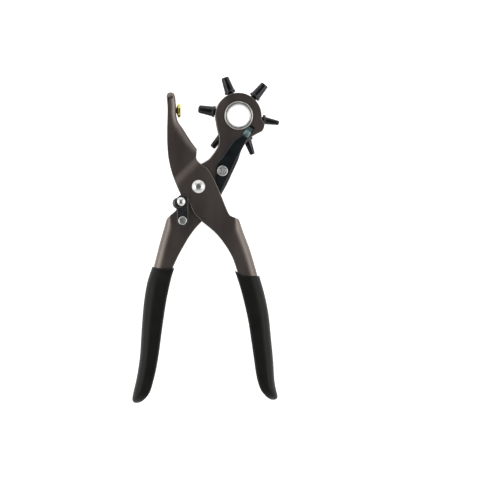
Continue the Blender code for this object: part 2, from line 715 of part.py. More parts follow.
def latch_rivet(look, lever_body):
    front = LATCH_TOP + GAP
    inside = INNER_HALF - GAP
    shank = SPRING_RIVET_HOLE - GAP
    profile = [(0, front + 1.0), (2.4, front + 0.9), (3.0, front + 0.4), (3.0, front), (shank, front)]
    profile += [(shank, inside), (2.8, inside), (2.4, inside - 0.6), (0, inside - 0.6)]
    return add_object("latch_rivet", mesh_from("latch_rivet", turned(profile, 24)), look, lever_body, (*LATCH_PIVOT, 0))


def latch_spacer(look, lever_body):
    bm = turned(ring_profile(SPRING_RIVET_HOLE, 3.4, INNER_OUT + GAP, LATCH_LOW - GAP), 20)
    return add_object("latch_spacer", mesh_from("latch_spacer", bm), look, lever_body, (*LATCH_PIVOT, 0))


# ---------------------------------------------------------------- grips


def grip(name, side, pocket_outline, handle_half, look, body):
    """A vinyl sleeve round a handle, closed at the bottom and cut off flat at its mouth."""
    past_mouth = (side[0] - side[1]).normalized() * 2 * GRIP_EDGE
    outline = side + [side[-1] + past_mouth, side[0] + past_mouth]
    bm = folded_prism(outline, GRIP_HALF, ((outline, GRIP_EDGE),))
    across = side[0] - side[-1]
    facing = Vector((across.y, -across.x)).normalized()
    facing *= 1 if facing.dot(past_mouth) > 0 else -1
    every = bm.verts[:] + bm.edges[:] + bm.faces[:]
    mouth = bmesh.ops.bisect_plane(
        bm, geom=every, dist=0.001, plane_co=(*side[0], 0), plane_no=(*facing, 0), clear_outer=True
    )
    rim = [part for part in mouth["geom_cut"] if isinstance(part, bmesh.types.BMEdge)]
    bmesh.ops.contextual_create(bm, geom=rim)
    sleeve = add_object(name, mesh_from(name, bm), look, body)
    pocket = prism(pocket_outline, -handle_half - GAP, handle_half + GAP)
    cut(sleeve, pocket, f"{name}_pocket", parent=body)
    return sleeve


def main():
    clear_scene()
    gunmetal = material("gunmetal", (0.045, 0.037, 0.034), 0.42, 0.9)
    brass = material("brass", (0.62, 0.5, 0.13), 0.28, 1.0)
    nickel = material("nickel", (0.62, 0.62, 0.6), 0.25, 1.0)
    blued = material("blued_spring_steel", (0.012, 0.016, 0.019), 0.3, 0.9)
    black = material("black_oxide", (0.012, 0.012, 0.013), 0.32, 0.8)
    hub_steel = material("hub_steel", (0.05, 0.05, 0.052), 0.4, 0.9)
    vinyl = material("black_vinyl", (0.014, 0.014, 0.011), 0.45, 0.0)

    frame = parent_empty("tool", (0, 0, MIDDLE))
    lever_body = parent_empty("handle_pivot", (0, 0, 0), frame)
    turret = parent_empty("turret_axis", (*TURRET, 0), lever_body)
    latch = parent_empty("latch_axis", (*LATCH_PIVOT, 0), lever_body)

    anvil_lever(gunmetal, frame)
    pivot_rivet(nickel, frame)
    pivot_bush(nickel, frame)
    anvil_pad(brass, frame)
    opening_spring(blued, frame)

    turret_lever(gunmetal, lever_body)
    eyelet(nickel, lever_body)
    turret_washer("turret_washer_front", 1, nickel, lever_body)
    turret_washer("turret_washer_rear", -1, nickel, lever_body)
    index_spring(blued, lever_body)
    index_spring_rivet(nickel, lever_body)
    jaw_spacer(nickel, lever_body)

    hub(hub_steel, turret)
    for index, bore in enumerate(TUBE_BORES):
        punch_tube(index, bore, black, turret)

    latch_plate(black, latch)
    latch_stud(nickel, latch)
    latch_rivet(nickel, lever_body)
    latch_spacer(nickel, lever_body)

    grip("grip_right", GRIP_RIGHT_SIDE, ANVIL_TANG_POCKET, OUTER_OUT, vinyl, frame)
    grip("grip_left", GRIP_LEFT_SIDE, TURRET_TANG_POCKET, INNER_OUT, vinyl, lever_body)


main()
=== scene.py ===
"""The looks of the rotary leather hole punch: fine meshes and materials, a floor, lights and a camera.

Shapes are made in millimetres round the tool's middle plane, and MM turns them into metres.
"""

import json
import math

import bmesh
import bpy
from mathutils import Matrix, Vector


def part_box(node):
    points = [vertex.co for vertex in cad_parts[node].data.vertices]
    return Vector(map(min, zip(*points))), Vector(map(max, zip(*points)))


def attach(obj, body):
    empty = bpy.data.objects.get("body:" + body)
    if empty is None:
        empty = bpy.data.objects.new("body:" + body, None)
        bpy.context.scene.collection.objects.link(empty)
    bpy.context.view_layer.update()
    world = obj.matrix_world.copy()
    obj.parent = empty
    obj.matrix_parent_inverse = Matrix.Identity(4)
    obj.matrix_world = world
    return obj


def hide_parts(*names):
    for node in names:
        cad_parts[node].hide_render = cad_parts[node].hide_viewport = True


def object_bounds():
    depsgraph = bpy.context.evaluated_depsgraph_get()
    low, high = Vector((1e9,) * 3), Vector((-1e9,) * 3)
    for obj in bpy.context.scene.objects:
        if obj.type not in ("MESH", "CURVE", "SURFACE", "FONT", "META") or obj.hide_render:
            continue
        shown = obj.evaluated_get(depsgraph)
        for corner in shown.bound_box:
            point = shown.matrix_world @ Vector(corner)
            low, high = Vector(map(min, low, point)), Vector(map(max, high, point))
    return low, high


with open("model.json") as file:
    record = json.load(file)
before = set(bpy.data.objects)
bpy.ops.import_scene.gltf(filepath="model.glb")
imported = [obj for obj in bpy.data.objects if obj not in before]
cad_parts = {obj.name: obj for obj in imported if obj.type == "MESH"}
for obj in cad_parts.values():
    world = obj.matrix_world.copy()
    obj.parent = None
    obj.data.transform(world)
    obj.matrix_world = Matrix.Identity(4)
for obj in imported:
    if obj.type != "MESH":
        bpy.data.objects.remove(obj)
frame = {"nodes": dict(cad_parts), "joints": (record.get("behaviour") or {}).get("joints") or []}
CAD_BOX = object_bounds()

MM = 0.001
SCENE = bpy.context.scene

# ---- Places and levels read from the frame ----
JOINTS = {joint["name"]: joint for joint in frame["joints"]}


def joint_place(name):
    return Vector(JOINTS[name]["pos_m"]) / MM


def node_box(name):
    low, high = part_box(name)
    return Vector(low) / MM, Vector(high) / MM


def half_height(name):
    low, high = node_box(name)
    return (high.z - low.z) / 2


def plan_centre(name):
    low, high = node_box(name)
    return ((low + high) / 2).xy


MIDDLE = joint_place("handle_pivot").z
TURRET = joint_place("turret_spin").xy
SPRING_ROOT = joint_place("index_spring_flex").xy
LATCH_PIVOT = joint_place("latch_swing").xy
LATCH_STUD = plan_centre("latch_stud")
OUTER_OUT = half_height("anvil_lever")
INNER_OUT = half_height("turret_lever")
HUB_HALF = half_height("turret_hub")
GRIP_HALF = half_height("grip_right")
HUB_RADIUS = (node_box("turret_hub")[1].x - node_box("turret_hub")[0].x) / 2
ANVIL_FACE = Vector((node_box("anvil_pad")[1].x, plan_centre("anvil_pad").y))
LATCH_LOW = node_box("latch_plate")[0].z - MIDDLE
LATCH_TOP = node_box("latch_plate")[1].z - MIDDLE

# ---- Sheet and clearances ----
SHEET = 1.8
GAP = 0.3
OUTER_HALF = OUTER_OUT - SHEET
INNER_HALF = INNER_OUT - SHEET
JAW_HALF = 5.6
JAW_OUT = JAW_HALF + SHEET
PIVOT_HOLE = 2.5
RIVET_HOLE = 1.8
EYELET_BARREL = 8.4

# ---- Folds, as (how far in they reach, how far down they drop) ----
HANDLE_FOLD = (6.4, 4.2)
INNER_FOLD = (HANDLE_FOLD[0] - SHEET, HANDLE_FOLD[1] - SHEET)
JAW_FOLD = (5.0, 3.2)
JAW_BEND = (6.6, 4.2)
NECK_END = 48.5  # the jaw is a narrow neck beyond this

# ---- How a fold grows, as (its share at the start, the length over which it becomes whole) ----
HANDLE_EASE = (0.68, 7.0)
JAW_TIP_EASE = (0.06, 5.0)
JAW_BEND_FROM_NECK = (0.76, 9.0)
JAW_BEND_FROM_CROSSING = (0.78, 8.0)
EVEN = (1.0, 1.0)

# ---- Edges, of which the worn ones also carry a painted highlight ----
EDGE = (0.4, 0.4)
WEAR_AND_HIGHLIGHT_ROUNDING = 2.0
LATCH_EDGE_ROUNDING = (0.24, 0.2)
BAR_EDGE = (0.3, 0.3)
ROUNDING_ANGLES = (0, 15, 30, 45, 60, 75, 90)

# ---- Joggle of the anvil lever's cheeks, as (direction, start, end) ----
INSIDE_STEP = (Vector((-0.78, 0.626)), 12.1, 15.6)
OUTSIDE_STEP = (Vector((-0.69, 0.724)), 7.2, 17.0)
STEP_SKEW = 1.4
STEP_CUTS = 14

# ---- Index spring ----
SPRING_ANGLE = math.radians(57)
SPRING_SHEET = 0.8
SPRING_LOW = INNER_OUT + 2 * GAP
SPRING_WINDOW = (26.5, 37.2, 2.75)  # start, end and half-width
# The leaf turns a lighter blue-green over this span towards its tip.
TIP_COLOUR = (0.24, 0.36, 0.355)
TIP_COLOUR_SPAN = (28.0, 33.5)

# ---- Grips ----
GRIP_STATIONS = 72
END_STATIONS = 10  # the last stations, over which the closed end rounds off
SWELL_STATIONS = 9  # the first stations, over which the mouth swells to the full height
CORNER_STEPS = 12
FULL_WIDTH = 15.0  # a grip narrower than this is thinner too
LEFT_MOUTH_HALF = 8.5
RIGHT_MOUTH_HALF = 10.3
LIP_THICKNESS = 0.9
LIP_CLEARANCE = 0.1
INNER_CORNER = 1.6  # the largest rounding along the inner side
OUTER_CORNER = (8.4, 7.0)  # the largest rounding along the outer side, across and down
VINYL_SHINE = 0.2  # the soft sleeve's specular level

# ---- Stage, lights and camera, with places and sizes in metres ----
FLOOR_HALF_SIZE = 6.0
FLOOR_GLOW = 0.84
HORIZON = (1.15, 1.15, 1.15, 1)
ZENITH = (0.1, 0.1, 0.1, 1)
SIDE_BOX_AWAY, SIDE_BOX_HEIGHT, SIDE_BOX_SIZE, SIDE_BOX_POWER = 0.8, 0.75, (0.8, 0.6), 3.4
TOP_BOX_PLACE, TOP_BOX_HEIGHT, TOP_BOX_SIZE, TOP_BOX_POWER = (-0.1, 0.9), 0.7, (0.7, 0.4), 0.8

# ---- Tubes ----
TUBE_TIP = 28.3
TUBE_COLLAR = (16.4, 18.4)
FIRST_TUBE_ANGLE = 170
TUBE_STEP = 60
TUBE_BORES = (3.2, 4.0, 4.8, 2.0, 2.4, 2.8)
SMALLEST_STOUT_BORE = 3.0
STOUT_TUBE = (3.45, 2.75, 0.25)  # radius at the collar, least radius near the tip, least shoulder at the edge
SLIM_TUBE = (2.6, 1.65, 0.42)


# ---------------------------------------------------------------- curves and outlines


def curve_through(points, steps=6):
    """Points on a smooth curve through the given ones, ends included."""
    known = [Vector(point) for point in points]
    if len(known) < 3:
        return known
    ends = [2 * known[0] - known[1]] + known + [2 * known[-1] - known[-2]]
    made = []
    for before, start, end, after in zip(ends, ends[1:], ends[2:], ends[3:]):
        for step in range(steps):
            t = step / steps
            linear = (end - before) * t
            square = (2 * before - 5 * start + 4 * end - after) * t * t
            cubic = (3 * start - before - 3 * end + after) * t**3
            made.append(0.5 * (2 * start + linear + square + cubic))
    made.append(known[-1])
    return made


def arc(centre, radius, start, end, count):
    made = []
    for index in range(count + 1):
        angle = math.radians(start + (end - start) * index / count)
        made.append(Vector((centre[0] + radius * math.cos(angle), centre[1] + radius * math.sin(angle))))
    return made


def joined(*runs):
    """One closed outline from runs whose ends meet, without repeated points."""
    points = []
    for run in runs:
        for point in run:
            if not points or (point - points[-1]).length > 0.05:
                points.append(Vector(point))
    if (points[0] - points[-1]).length < 0.05:
        points.pop()
    return points


def evenly(path, count):
    """count + 1 points spread evenly along a path."""
    lengths = [0.0]
    for first, second in zip(path, path[1:]):
        lengths.append(lengths[-1] + (second - first).length)
    made = []
    segment = 0
    for index in range(count + 1):
        target = lengths[-1] * index / count
        while segment < len(path) - 2 and lengths[segment + 1] < target:
            segment += 1
        span = lengths[segment + 1] - lengths[segment]
        made.append(path[segment].lerp(path[segment + 1], min(1.0, (target - lengths[segment]) / span)))
    return made


def moved_right(path, distance):
    """The path shifted to the right of the way it runs."""
    moved = []
    for index, point in enumerate(path):
        along = (path[min(len(path) - 1, index + 1)] - path[max(0, index - 1)]).normalized()
        moved.append(point + Vector((along.y, -along.x)) * distance)
    return moved


def smoothstep(value):
    value = min(1.0, max(0.0, value))
    return value * value * (3 - 2 * value)


# ---------------------------------------------------------------- meshes


def prism(outline, low, high):
    """A plain prism over an outline."""
    bm = bmesh.new()
    bottom = [bm.verts.new((p[0], p[1], low)) for p in outline]
    top = [bm.verts.new((p[0], p[1], high)) for p in outline]
    bm.faces.new(bottom)
    bm.faces.new(top)
    for index in range(len(outline)):
        after = (index + 1) % len(outline)
        bm.faces.new((bottom[index], bottom[after], top[after], top[index]))
    return bm


def folded_prism(outline, low, high, folds, edge=(0.0, 0.0), wear_and_highlight=()):
    """A prism with rounded long edges.

    folds lists (points of the outline, a fold, how it grows). Elsewhere the corner is rounded by `edge`.
    Along the points of the worn edges it is rounded by the wear-and-highlight factor times as much, and takes
    the second material: bright worn metal that also paints a highlight on the edges that face the lights.
    """
    rounding_at = {}
    for path, (reach, drop), (share_at_start, ease) in folds:
        travelled = 0.0
        for index, point in enumerate(path):
            travelled += (point - path[index - 1]).length if index else 0.0
            share = share_at_start + (1 - share_at_start) * smoothstep(travelled / ease)
            rounding_at[point.to_tuple(3)] = (reach * share, drop * share)
    count = len(outline)
    plain = edge if edge[1] else (0.0, max(drop for _, (_, drop), _ in folds))
    wear_and_highlight_points = {point.to_tuple(3) for point in wear_and_highlight}
    has_wear_and_highlight = [point.to_tuple(3) in wear_and_highlight_points for point in outline]
    wear_and_highlight_edge = (edge[0] * WEAR_AND_HIGHLIGHT_ROUNDING, edge[1] * WEAR_AND_HIGHLIGHT_ROUNDING)
    folded = [point.to_tuple(3) in rounding_at for point in outline]
    unfolded = [wear_and_highlight_edge if worn_and_highlit else plain for worn_and_highlit in has_wear_and_highlight]
    roundings = [rounding_at.get(point.to_tuple(3), corner) for point, corner in zip(outline, unfolded)]
    inward = []
    for index, point in enumerate(outline):
        before = (point - outline[index - 1]).normalized()
        after = (outline[(index + 1) % count] - point).normalized()
        if folded[index] and not folded[index - 1]:
            inward.append(-before)
        elif folded[index] and not folded[(index + 1) % count]:
            inward.append(after)
        else:
            inward.append(Vector((before.y + after.y, -before.x - after.x)).normalized())
    levels = [(-1, angle) for angle in ROUNDING_ANGLES[::-1]] + [(1, angle) for angle in ROUNDING_ANGLES]
    middle_strip = len(ROUNDING_ANGLES) - 1
    middle, half = (low + high) / 2, (high - low) / 2
    bm = bmesh.new()
    rings = []
    for side, angle in levels:
        ring = []
        inset, rise = 1 - math.cos(math.radians(angle)), 1 - math.sin(math.radians(angle))
        for point, (reach, drop), direction in zip(outline, roundings, inward):
            place = point + direction * reach * inset
            ring.append(bm.verts.new((place.x, place.y, middle + side * (half - drop * rise))))
        rings.append(ring)
    for level, (lower, upper) in enumerate(zip(rings, rings[1:])):
        for index in range(count):
            after = (index + 1) % count
            face = bm.faces.new((lower[index], lower[after], upper[after], upper[index]))
            face.material_index = int(level != middle_strip and has_wear_and_highlight[index] and has_wear_and_highlight[after])
    bm.faces.new(rings[0])
    bm.faces.new(rings[-1])
    return bm


def fillet(profile, radius, steps=4):
    """An open profile with its inner corners rounded. Ends stay where they are."""
    points = [Vector(point) for point in profile]
    made = [points[0]]
    for before, corner, after in zip(points, points[1:], points[2:]):
        back, ahead = before - corner, after - corner
        reach = min(radius, back.length * 0.45, ahead.length * 0.45)
        start = corner + back.normalized() * reach
        end = corner + ahead.normalized() * reach
        for step in range(steps + 1):
            t = step / steps
            made.append(start * (1 - t) ** 2 + corner * 2 * t * (1 - t) + end * t * t)
    made.append(points[-1])
    return made


def turned(profile, steps=64, closed=False, inner_radius=None):
    """A profile of (radius, height) turned about Z. Faces within inner_radius take the second material."""
    bm = bmesh.new()
    rings = []
    for radius, height in profile:
        if radius < 1e-6:
            rings.append([bm.verts.new((0, 0, height))])
            continue
        ring = []
        for step in range(steps):
            angle = 2 * math.pi * step / steps
            ring.append(bm.verts.new((radius * math.cos(angle), radius * math.sin(angle), height)))
        rings.append(ring)
    pairs = list(zip(rings, rings[1:]))
    if closed:
        pairs.append((rings[-1], rings[0]))
    for first, second in pairs:
        for step in range(steps):
            after = (step + 1) % steps
            corners = [first[step % len(first)], first[after % len(first)]]
            corners += [second[after % len(second)], second[step % len(second)]]
            unique = list(dict.fromkeys(corners))
            if len(unique) > 2:
                face = bm.faces.new(unique)
                if inner_radius and face.calc_center_median().xy.length < inner_radius:
                    face.material_index = 1
    return bm


def lofted(rings, wear_and_highlight=()):
    """A closed skin over rings with equal numbers of points. The listed strips take the second material, worn
    metal that also paints an edge highlight.
    """
    bm = bmesh.new()
    made = [[bm.verts.new(point) for point in ring] for ring in rings]
    for lower, upper in zip(made, made[1:]):
        for index in range(len(lower)):
            after = (index + 1) % len(lower)
            face = bm.faces.new((lower[index], lower[after], upper[after], upper[index]))
            face.material_index = int(index in wear_and_highlight)
    bm.faces.new(made[0])
    bm.faces.new(made[-1])
    return bm


def plain_object(name, bm, turn=None, at=(0, 0, 0)):
    """An object in the row frame from a bmesh in millimetres round the middle plane."""
    bmesh.ops.recalc_face_normals(bm, faces=bm.faces)
    if turn is not None:
        bmesh.ops.transform(bm, matrix=turn.to_4x4(), verts=bm.verts)
    bmesh.ops.translate(bm, vec=Vector(at) + Vector((0, 0, MIDDLE)), verts=bm.verts)
    bmesh.ops.scale(bm, vec=(MM, MM, MM), verts=bm.verts)
    mesh = bpy.data.meshes.new(name)
    bm.to_mesh(mesh)
    bm.free()
    obj = bpy.data.objects.new(name, mesh)
    SCENE.collection.objects.link(obj)
    return obj


def cut(obj, cutters):
    """Cuts shapes from the object. A cutter is (bmesh, turn, place), and the last two may be missing."""
    for index, cutter in enumerate(cutters):
        tool = plain_object(f"{obj.name}_cutter_{index}", *cutter)
        boolean = obj.modifiers.new("cut", "BOOLEAN")
        boolean.operation = "DIFFERENCE"
        boolean.solver = "EXACT"
        boolean.object = tool
        graph = bpy.context.evaluated_depsgraph_get()
        result = bpy.data.meshes.new_from_object(obj.evaluated_get(graph))
        obj.modifiers.remove(boolean)
        obj.data = result
        bpy.data.objects.remove(tool)


def piece(obj, body, looks, nodes, sharp=35, flat=False):
    """Finishes a piece: its materials, its smooth shading, its body and the nodes it replaces."""
    obj.data.materials.clear()
    for look in looks:
        obj.data.materials.append(look)
    obj.data.shade_smooth()
    obj.data.set_sharp_from_angle(angle=math.radians(sharp))
    if flat:
        weighted = obj.modifiers.new("flat_faces", "WEIGHTED_NORMAL")
        weighted.keep_sharp = True
        weighted.weight = 100
    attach(obj, body)
    if nodes:
        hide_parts(*nodes)


# ---------------------------------------------------------------- materials


def surface(name, dark, light, metallic, roughness, mottle, grain, bump, stretch=(1, 1, 1)):
    """A Principled material whose colour, roughness and relief vary with object-space noise.

    dark and light are the colours it varies between, and roughness is (lowest, highest). mottle and grain
    are noise scales in features per metre, and bump is the relief's height in millimetres.
    """
    made = bpy.data.materials.new(name)
    made.use_nodes = True
    nodes, links = made.node_tree.nodes, made.node_tree.links
    shader = nodes["Principled BSDF"]
    shader.inputs["Metallic"].default_value = metallic
    place = nodes.new("ShaderNodeTexCoord")
    mapping = nodes.new("ShaderNodeMapping")
    mapping.inputs["Scale"].default_value = stretch
    links.new(place.outputs["Object"], mapping.inputs["Vector"])

    def noise(scale, detail):
        node = nodes.new("ShaderNodeTexNoise")
        node.inputs["Scale"].default_value = scale
        node.inputs["Detail"].default_value = detail
        links.new(mapping.outputs["Vector"], node.inputs["Vector"])
        return node.outputs["Fac"]

    patches = noise(mottle, 5)
    fine = noise(grain, 3)
    ramp = nodes.new("ShaderNodeValToRGB")
    ramp.color_ramp.elements[0].position = 0.32
    ramp.color_ramp.elements[0].color = (*dark, 1)
    ramp.color_ramp.elements[1].position = 0.68
    ramp.color_ramp.elements[1].color = (*light, 1)
    links.new(patches, ramp.inputs["Fac"])
    links.new(ramp.outputs["Color"], shader.inputs["Base Color"])
    mixed = nodes.new("ShaderNodeMath")
    mixed.operation = "ADD"
    links.new(patches, mixed.inputs[0])
    links.new(fine, mixed.inputs[1])
    spread = nodes.new("ShaderNodeMapRange")
    spread.inputs["From Min"].default_value = 0.6
    spread.inputs["From Max"].default_value = 1.4
    spread.inputs["To Min"].default_value = roughness[0]
    spread.inputs["To Max"].default_value = roughness[1]
    links.new(mixed.outputs["Value"], spread.inputs["Value"])
    links.new(spread.outputs["Result"], shader.inputs["Roughness"])
    relief = nodes.new("ShaderNodeBump")
    relief.inputs["Strength"].default_value = 1.0
    relief.inputs["Distance"].default_value = bump * MM
    links.new(fine, relief.inputs["Height"])
    links.new(relief.outputs["Normal"], shader.inputs["Normal"])
    return made


def add_tip_colour(material, start, direction, lengths, colour):
    """Blends the base colour towards another along a direction, so that the leaf turns a lighter blue-green
    towards its tip.
    """
    nodes, links = material.node_tree.nodes, material.node_tree.links
    shader = nodes["Principled BSDF"]
    place = nodes.new("ShaderNodeTexCoord")
    offset = nodes.new("ShaderNodeVectorMath")
    offset.operation = "SUBTRACT"
    offset.inputs[1].default_value = start
    links.new(place.outputs["Object"], offset.inputs[0])
    along = nodes.new("ShaderNodeVectorMath")
    along.operation = "DOT_PRODUCT"
    along.inputs[1].default_value = direction
    links.new(offset.outputs["Vector"], along.inputs[0])
    reach = nodes.new("ShaderNodeMapRange")
    reach.inputs["From Min"].default_value = lengths[0] * MM
    reach.inputs["From Max"].default_value = lengths[1] * MM
    links.new(along.outputs["Value"], reach.inputs["Value"])
    mix = nodes.new("ShaderNodeMix")
    mix.data_type = "RGBA"
    base = shader.inputs["Base Color"].links[0].from_socket
    links.new(reach.outputs["Result"], mix.inputs["Factor"])
    links.new(base, mix.inputs["A"])
    mix.inputs["B"].default_value = (*colour, 1)
    links.new(mix.outputs["Result"], shader.inputs["Base Color"])


GUNMETAL = surface(
    "gunmetal_plate",
    (0.145, 0.122, 0.11),
    (0.19, 0.162, 0.146),
    1.0,
    (0.34, 0.44),
    60,
    2600,
    0.006,
    stretch=(1, 0.35, 1),
)
# Bright worn metal on the levers' edges, which is also a painted highlight: it goes only on the edges that
# face the lights.
GUNMETAL_WEAR_AND_HIGHLIGHT = surface(
    "gunmetal_worn_edge", (0.84, 0.82, 0.8), (0.94, 0.92, 0.9), 1.0, (0.3, 0.42), 500, 2600, 0.004
)
NICKEL = surface(
    "nickel_plate", (0.64, 0.635, 0.62), (0.74, 0.735, 0.72), 1.0, (0.26, 0.34), 300, 2200, 0.003
)
PEENED = surface("peened_nickel", (0.5, 0.5, 0.5), (0.66, 0.66, 0.65), 1.0, (0.5, 0.6), 900, 1500, 0.08)
KNURL_FLOOR = surface(
    "knurl_floor", (0.03, 0.034, 0.036), (0.07, 0.076, 0.08), 1.0, (0.35, 0.5), 900, 1500, 0.05
)
DULL_NICKEL = surface("dull_nickel", (0.5, 0.5, 0.49), (0.62, 0.62, 0.6), 1.0, (0.3, 0.42), 500, 1800, 0.012)
BRASS = surface("turned_brass", (0.5, 0.42, 0.08), (0.68, 0.6, 0.16), 1.0, (0.14, 0.3), 400, 2500, 0.004)
BLUED = surface(
    "blued_spring_steel", (0.042, 0.05, 0.056), (0.066, 0.076, 0.082), 1.0, (0.26, 0.36), 120, 2400, 0.004
)
BLACK = surface("black_oxide", (0.03, 0.03, 0.033), (0.05, 0.05, 0.053), 1.0, (0.2, 0.32), 250, 2200, 0.005)
LATCH_BLACK = surface(
    "black_latch", (0.068, 0.069, 0.075), (0.1, 0.101, 0.108), 0.9, (0.22, 0.34), 250, 2200, 0.006
)
# Bright worn metal on the latch plate's rim and the leaf's bevels, which is also a painted highlight along
# those edges.
LATCH_WEAR_AND_HIGHLIGHT = surface(
    "latch_wear_and_painted_highlight", (0.6, 0.61, 0.6), (0.74, 0.75, 0.73), 1.0, (0.3, 0.4), 600, 2200, 0.004
)
HUB_STEEL = surface(
    "oiled_hub_steel", (0.06, 0.06, 0.062), (0.1, 0.1, 0.102), 1.0, (0.3, 0.44), 200, 2400, 0.006
)
# A dark finish used only as painted shade, at the bottom of the stud's mark.
RECESS_SHADE = surface("painted_recess_shade", (0.02, 0.02, 0.02), (0.035, 0.035, 0.035), 0.6, (0.5, 0.6), 600, 1500, 0.01)
VINYL = surface(
    "dipped_vinyl", (0.004, 0.0043, 0.003), (0.006, 0.0064, 0.0046), 0.0, (0.42, 0.52), 90, 1500, 0.02
)


# ---------------------------------------------------------------- outlines of the levers

JAW_TIP = curve_through(
    [(-21.7, 59.5), (-22.1, 62.2), (-21.4, 64.4), (-19.3, 65.1), (-17.2, 64.5), (-16.1, 62.2), (-15.7, 58.6)]
)
JAW_FACE_WHOLE = curve_through(
    [(-15.7, 58.6), (-15.4, 54.1), (-15.4, 49.9), (-14.1, 44.9), (-10.5, 39.6), (-5.5, 31.7), (-1.2, 25.8)]
)
JAW_NECK_FACE = [point for point in JAW_FACE_WHOLE if point.y > NECK_END]
JAW_FACE = [point for point in JAW_FACE_WHOLE if point.y <= NECK_END]
ANVIL_BACK = curve_through([(27.9, -22.5), (31.0, -31.6), (35.2, -42.7), (38.6, -53.9), (40.8, -61.7)])
ANVIL_TANG_BACK = curve_through([(40.8, -61.7), (43.2, -71.0), (45.0, -80.0)])
CROSSING_TOP = [(-1.7, 20.6), (-1.0, 18.2), (1.7, 15.6), (6.1, 12.7)]
CROSSING_EDGE = curve_through(CROSSING_TOP + [(9.1, 8.3), (11.6, 3.5), (14.1, -2.1), (15.9, -6.8)])
LOWER_EDGE = curve_through(
    [(2.0, -23.7), (-2.0, -19.7), (-3.6, -17.8), (-5.5, -13.5), (-6.7, -9.9), (-8.3, -5.9)]
)
ANVIL_FRONT = curve_through(
    [(34.0, -80.0), (31.5, -71.2), (27.0, -59.0), (23.3, -48.6), (17.7, -39.2), (11.1, -31.3), (2.0, -23.7)]
)
JAW_BACK_START = [(-12.1, -5.9), (-14.9, 0.3), (-18.2, 8.9), (-20.5, 18.2)]
JAW_BACK = curve_through(JAW_BACK_START + [(-21.5, 27.8), (-21.7, 38.9), (-21.4, 52.0), (-21.7, 59.5)])
ANVIL_OUTLINE = joined(
    JAW_TIP,
    JAW_FACE_WHOLE,
    CROSSING_EDGE,
    curve_through([(15.9, -6.8), (16.6, -8.6), (20.6, -18.3), (22.9, -20.5)]),
    ANVIL_BACK,
    ANVIL_TANG_BACK,
    ANVIL_FRONT,
    LOWER_EDGE,
    JAW_BACK,
)
NECK_FOOT = [(1.7, 15.6), (6.6, 18.5), (8.9, 20.9), (11.7, 24.8)]
TURRET_NECK = curve_through(NECK_FOOT + [(13.8, 29.0), (13.9, 34.6), (12.4, 41.5), (11.3, 48.0)])
RING = arc(plan_centre("turret_eyelet") + Vector((-0.3, -0.3)), 16.1, 182.0, -7.0, 66)
TURRET_BACK = curve_through([(-31.0, -55.6), (-26.2, -36.9), (-21.9, -22.1)])
TURRET_TANG_BACK = curve_through([(-36.0, -80.0), (-34.5, -70.5), (-31.0, -55.6)])
RING_LOBE = curve_through(
    [(43.4, 46.6), (45.2, 43.9), (45.3, 41.1), (43.9, 38.5), (40.6, 36.8), (36.4, 34.2), (31.8, 29.2)]
)
NECK_BACK = curve_through([(31.8, 29.2), (29.5, 24.8), (27.3, 18.2), (23.9, 10.8), (19.6, 1.6), (15.6, -5.8)])
TURRET_FRONT = curve_through(
    [(15.6, -5.8), (9.5, -16.0), (2.2, -23.9), (-2.5, -29.1), (-6.7, -34.9), (-10.9, -42.0), (-14.6, -48.9)]
)
TURRET_TANG_FRONT = curve_through([(-14.6, -48.9), (-18.2, -57.0), (-21.3, -66.0), (-24.2, -80.0)])
TURRET_OUTLINE = joined(
    TURRET_NECK,
    RING,
    RING_LOBE,
    NECK_BACK,
    TURRET_FRONT,
    TURRET_TANG_FRONT,
    TURRET_TANG_BACK,
    TURRET_BACK,
    curve_through([(-18.4, -18.9), (-15.2, -15.7), (-12.9, -10.0), (-11.6, -5.0)]),
    arc((0, 0), 11.0, 196.0, 105.0, 20),
)
BEYOND = 75.0  # outside every outline
TANG_END = -86.0
JAW_HOLLOW_END = 60.6
# The ring's first points, on the side that faces the lights, are worn edge and painted highlight.
WEAR_AND_HIGHLIGHT_RING_POINTS = 20


def step_cheeks(bm, wide, narrow, step, cuts, skew=0.0):
    """Narrows a prism from half-height `wide` to `narrow` along a step on the jaw's side of the pivot.

    The step's slope is even, or with a skew it swells and fades, steepest nearer its end.
    """
    direction, start, end = step
    direction = direction.normalized()
    for index in range(cuts + 1):
        distance = start + (end - start) * index / cuts
        every = bm.verts[:] + bm.edges[:] + bm.faces[:]
        point = (*(direction * distance), 0)
        bmesh.ops.bisect_plane(bm, geom=every, dist=0.001, plane_co=point, plane_no=(*direction, 0))
    for vert in bm.verts:
        along = min(1.0, max(0.0, (vert.co.xy.dot(direction) - start) / (end - start)))
        share = smoothstep(along**skew) if skew else along
        vert.co.z *= (wide + (narrow - wide) * share) / wide


def rod_cutter(radius, low, high, at=(0, 0, 0)):
    return turned([(0, low), (radius, low), (radius, high), (0, high)], 48), None, at


def along_spring(distance, aside=0.0):
    """The point in plan at a distance along the index spring from its rivet, and to the left of its line."""
    forward = Vector((math.cos(SPRING_ANGLE), math.sin(SPRING_ANGLE)))
    left = Vector((-forward.y, forward.x))
    return SPRING_ROOT + forward * distance + left * aside


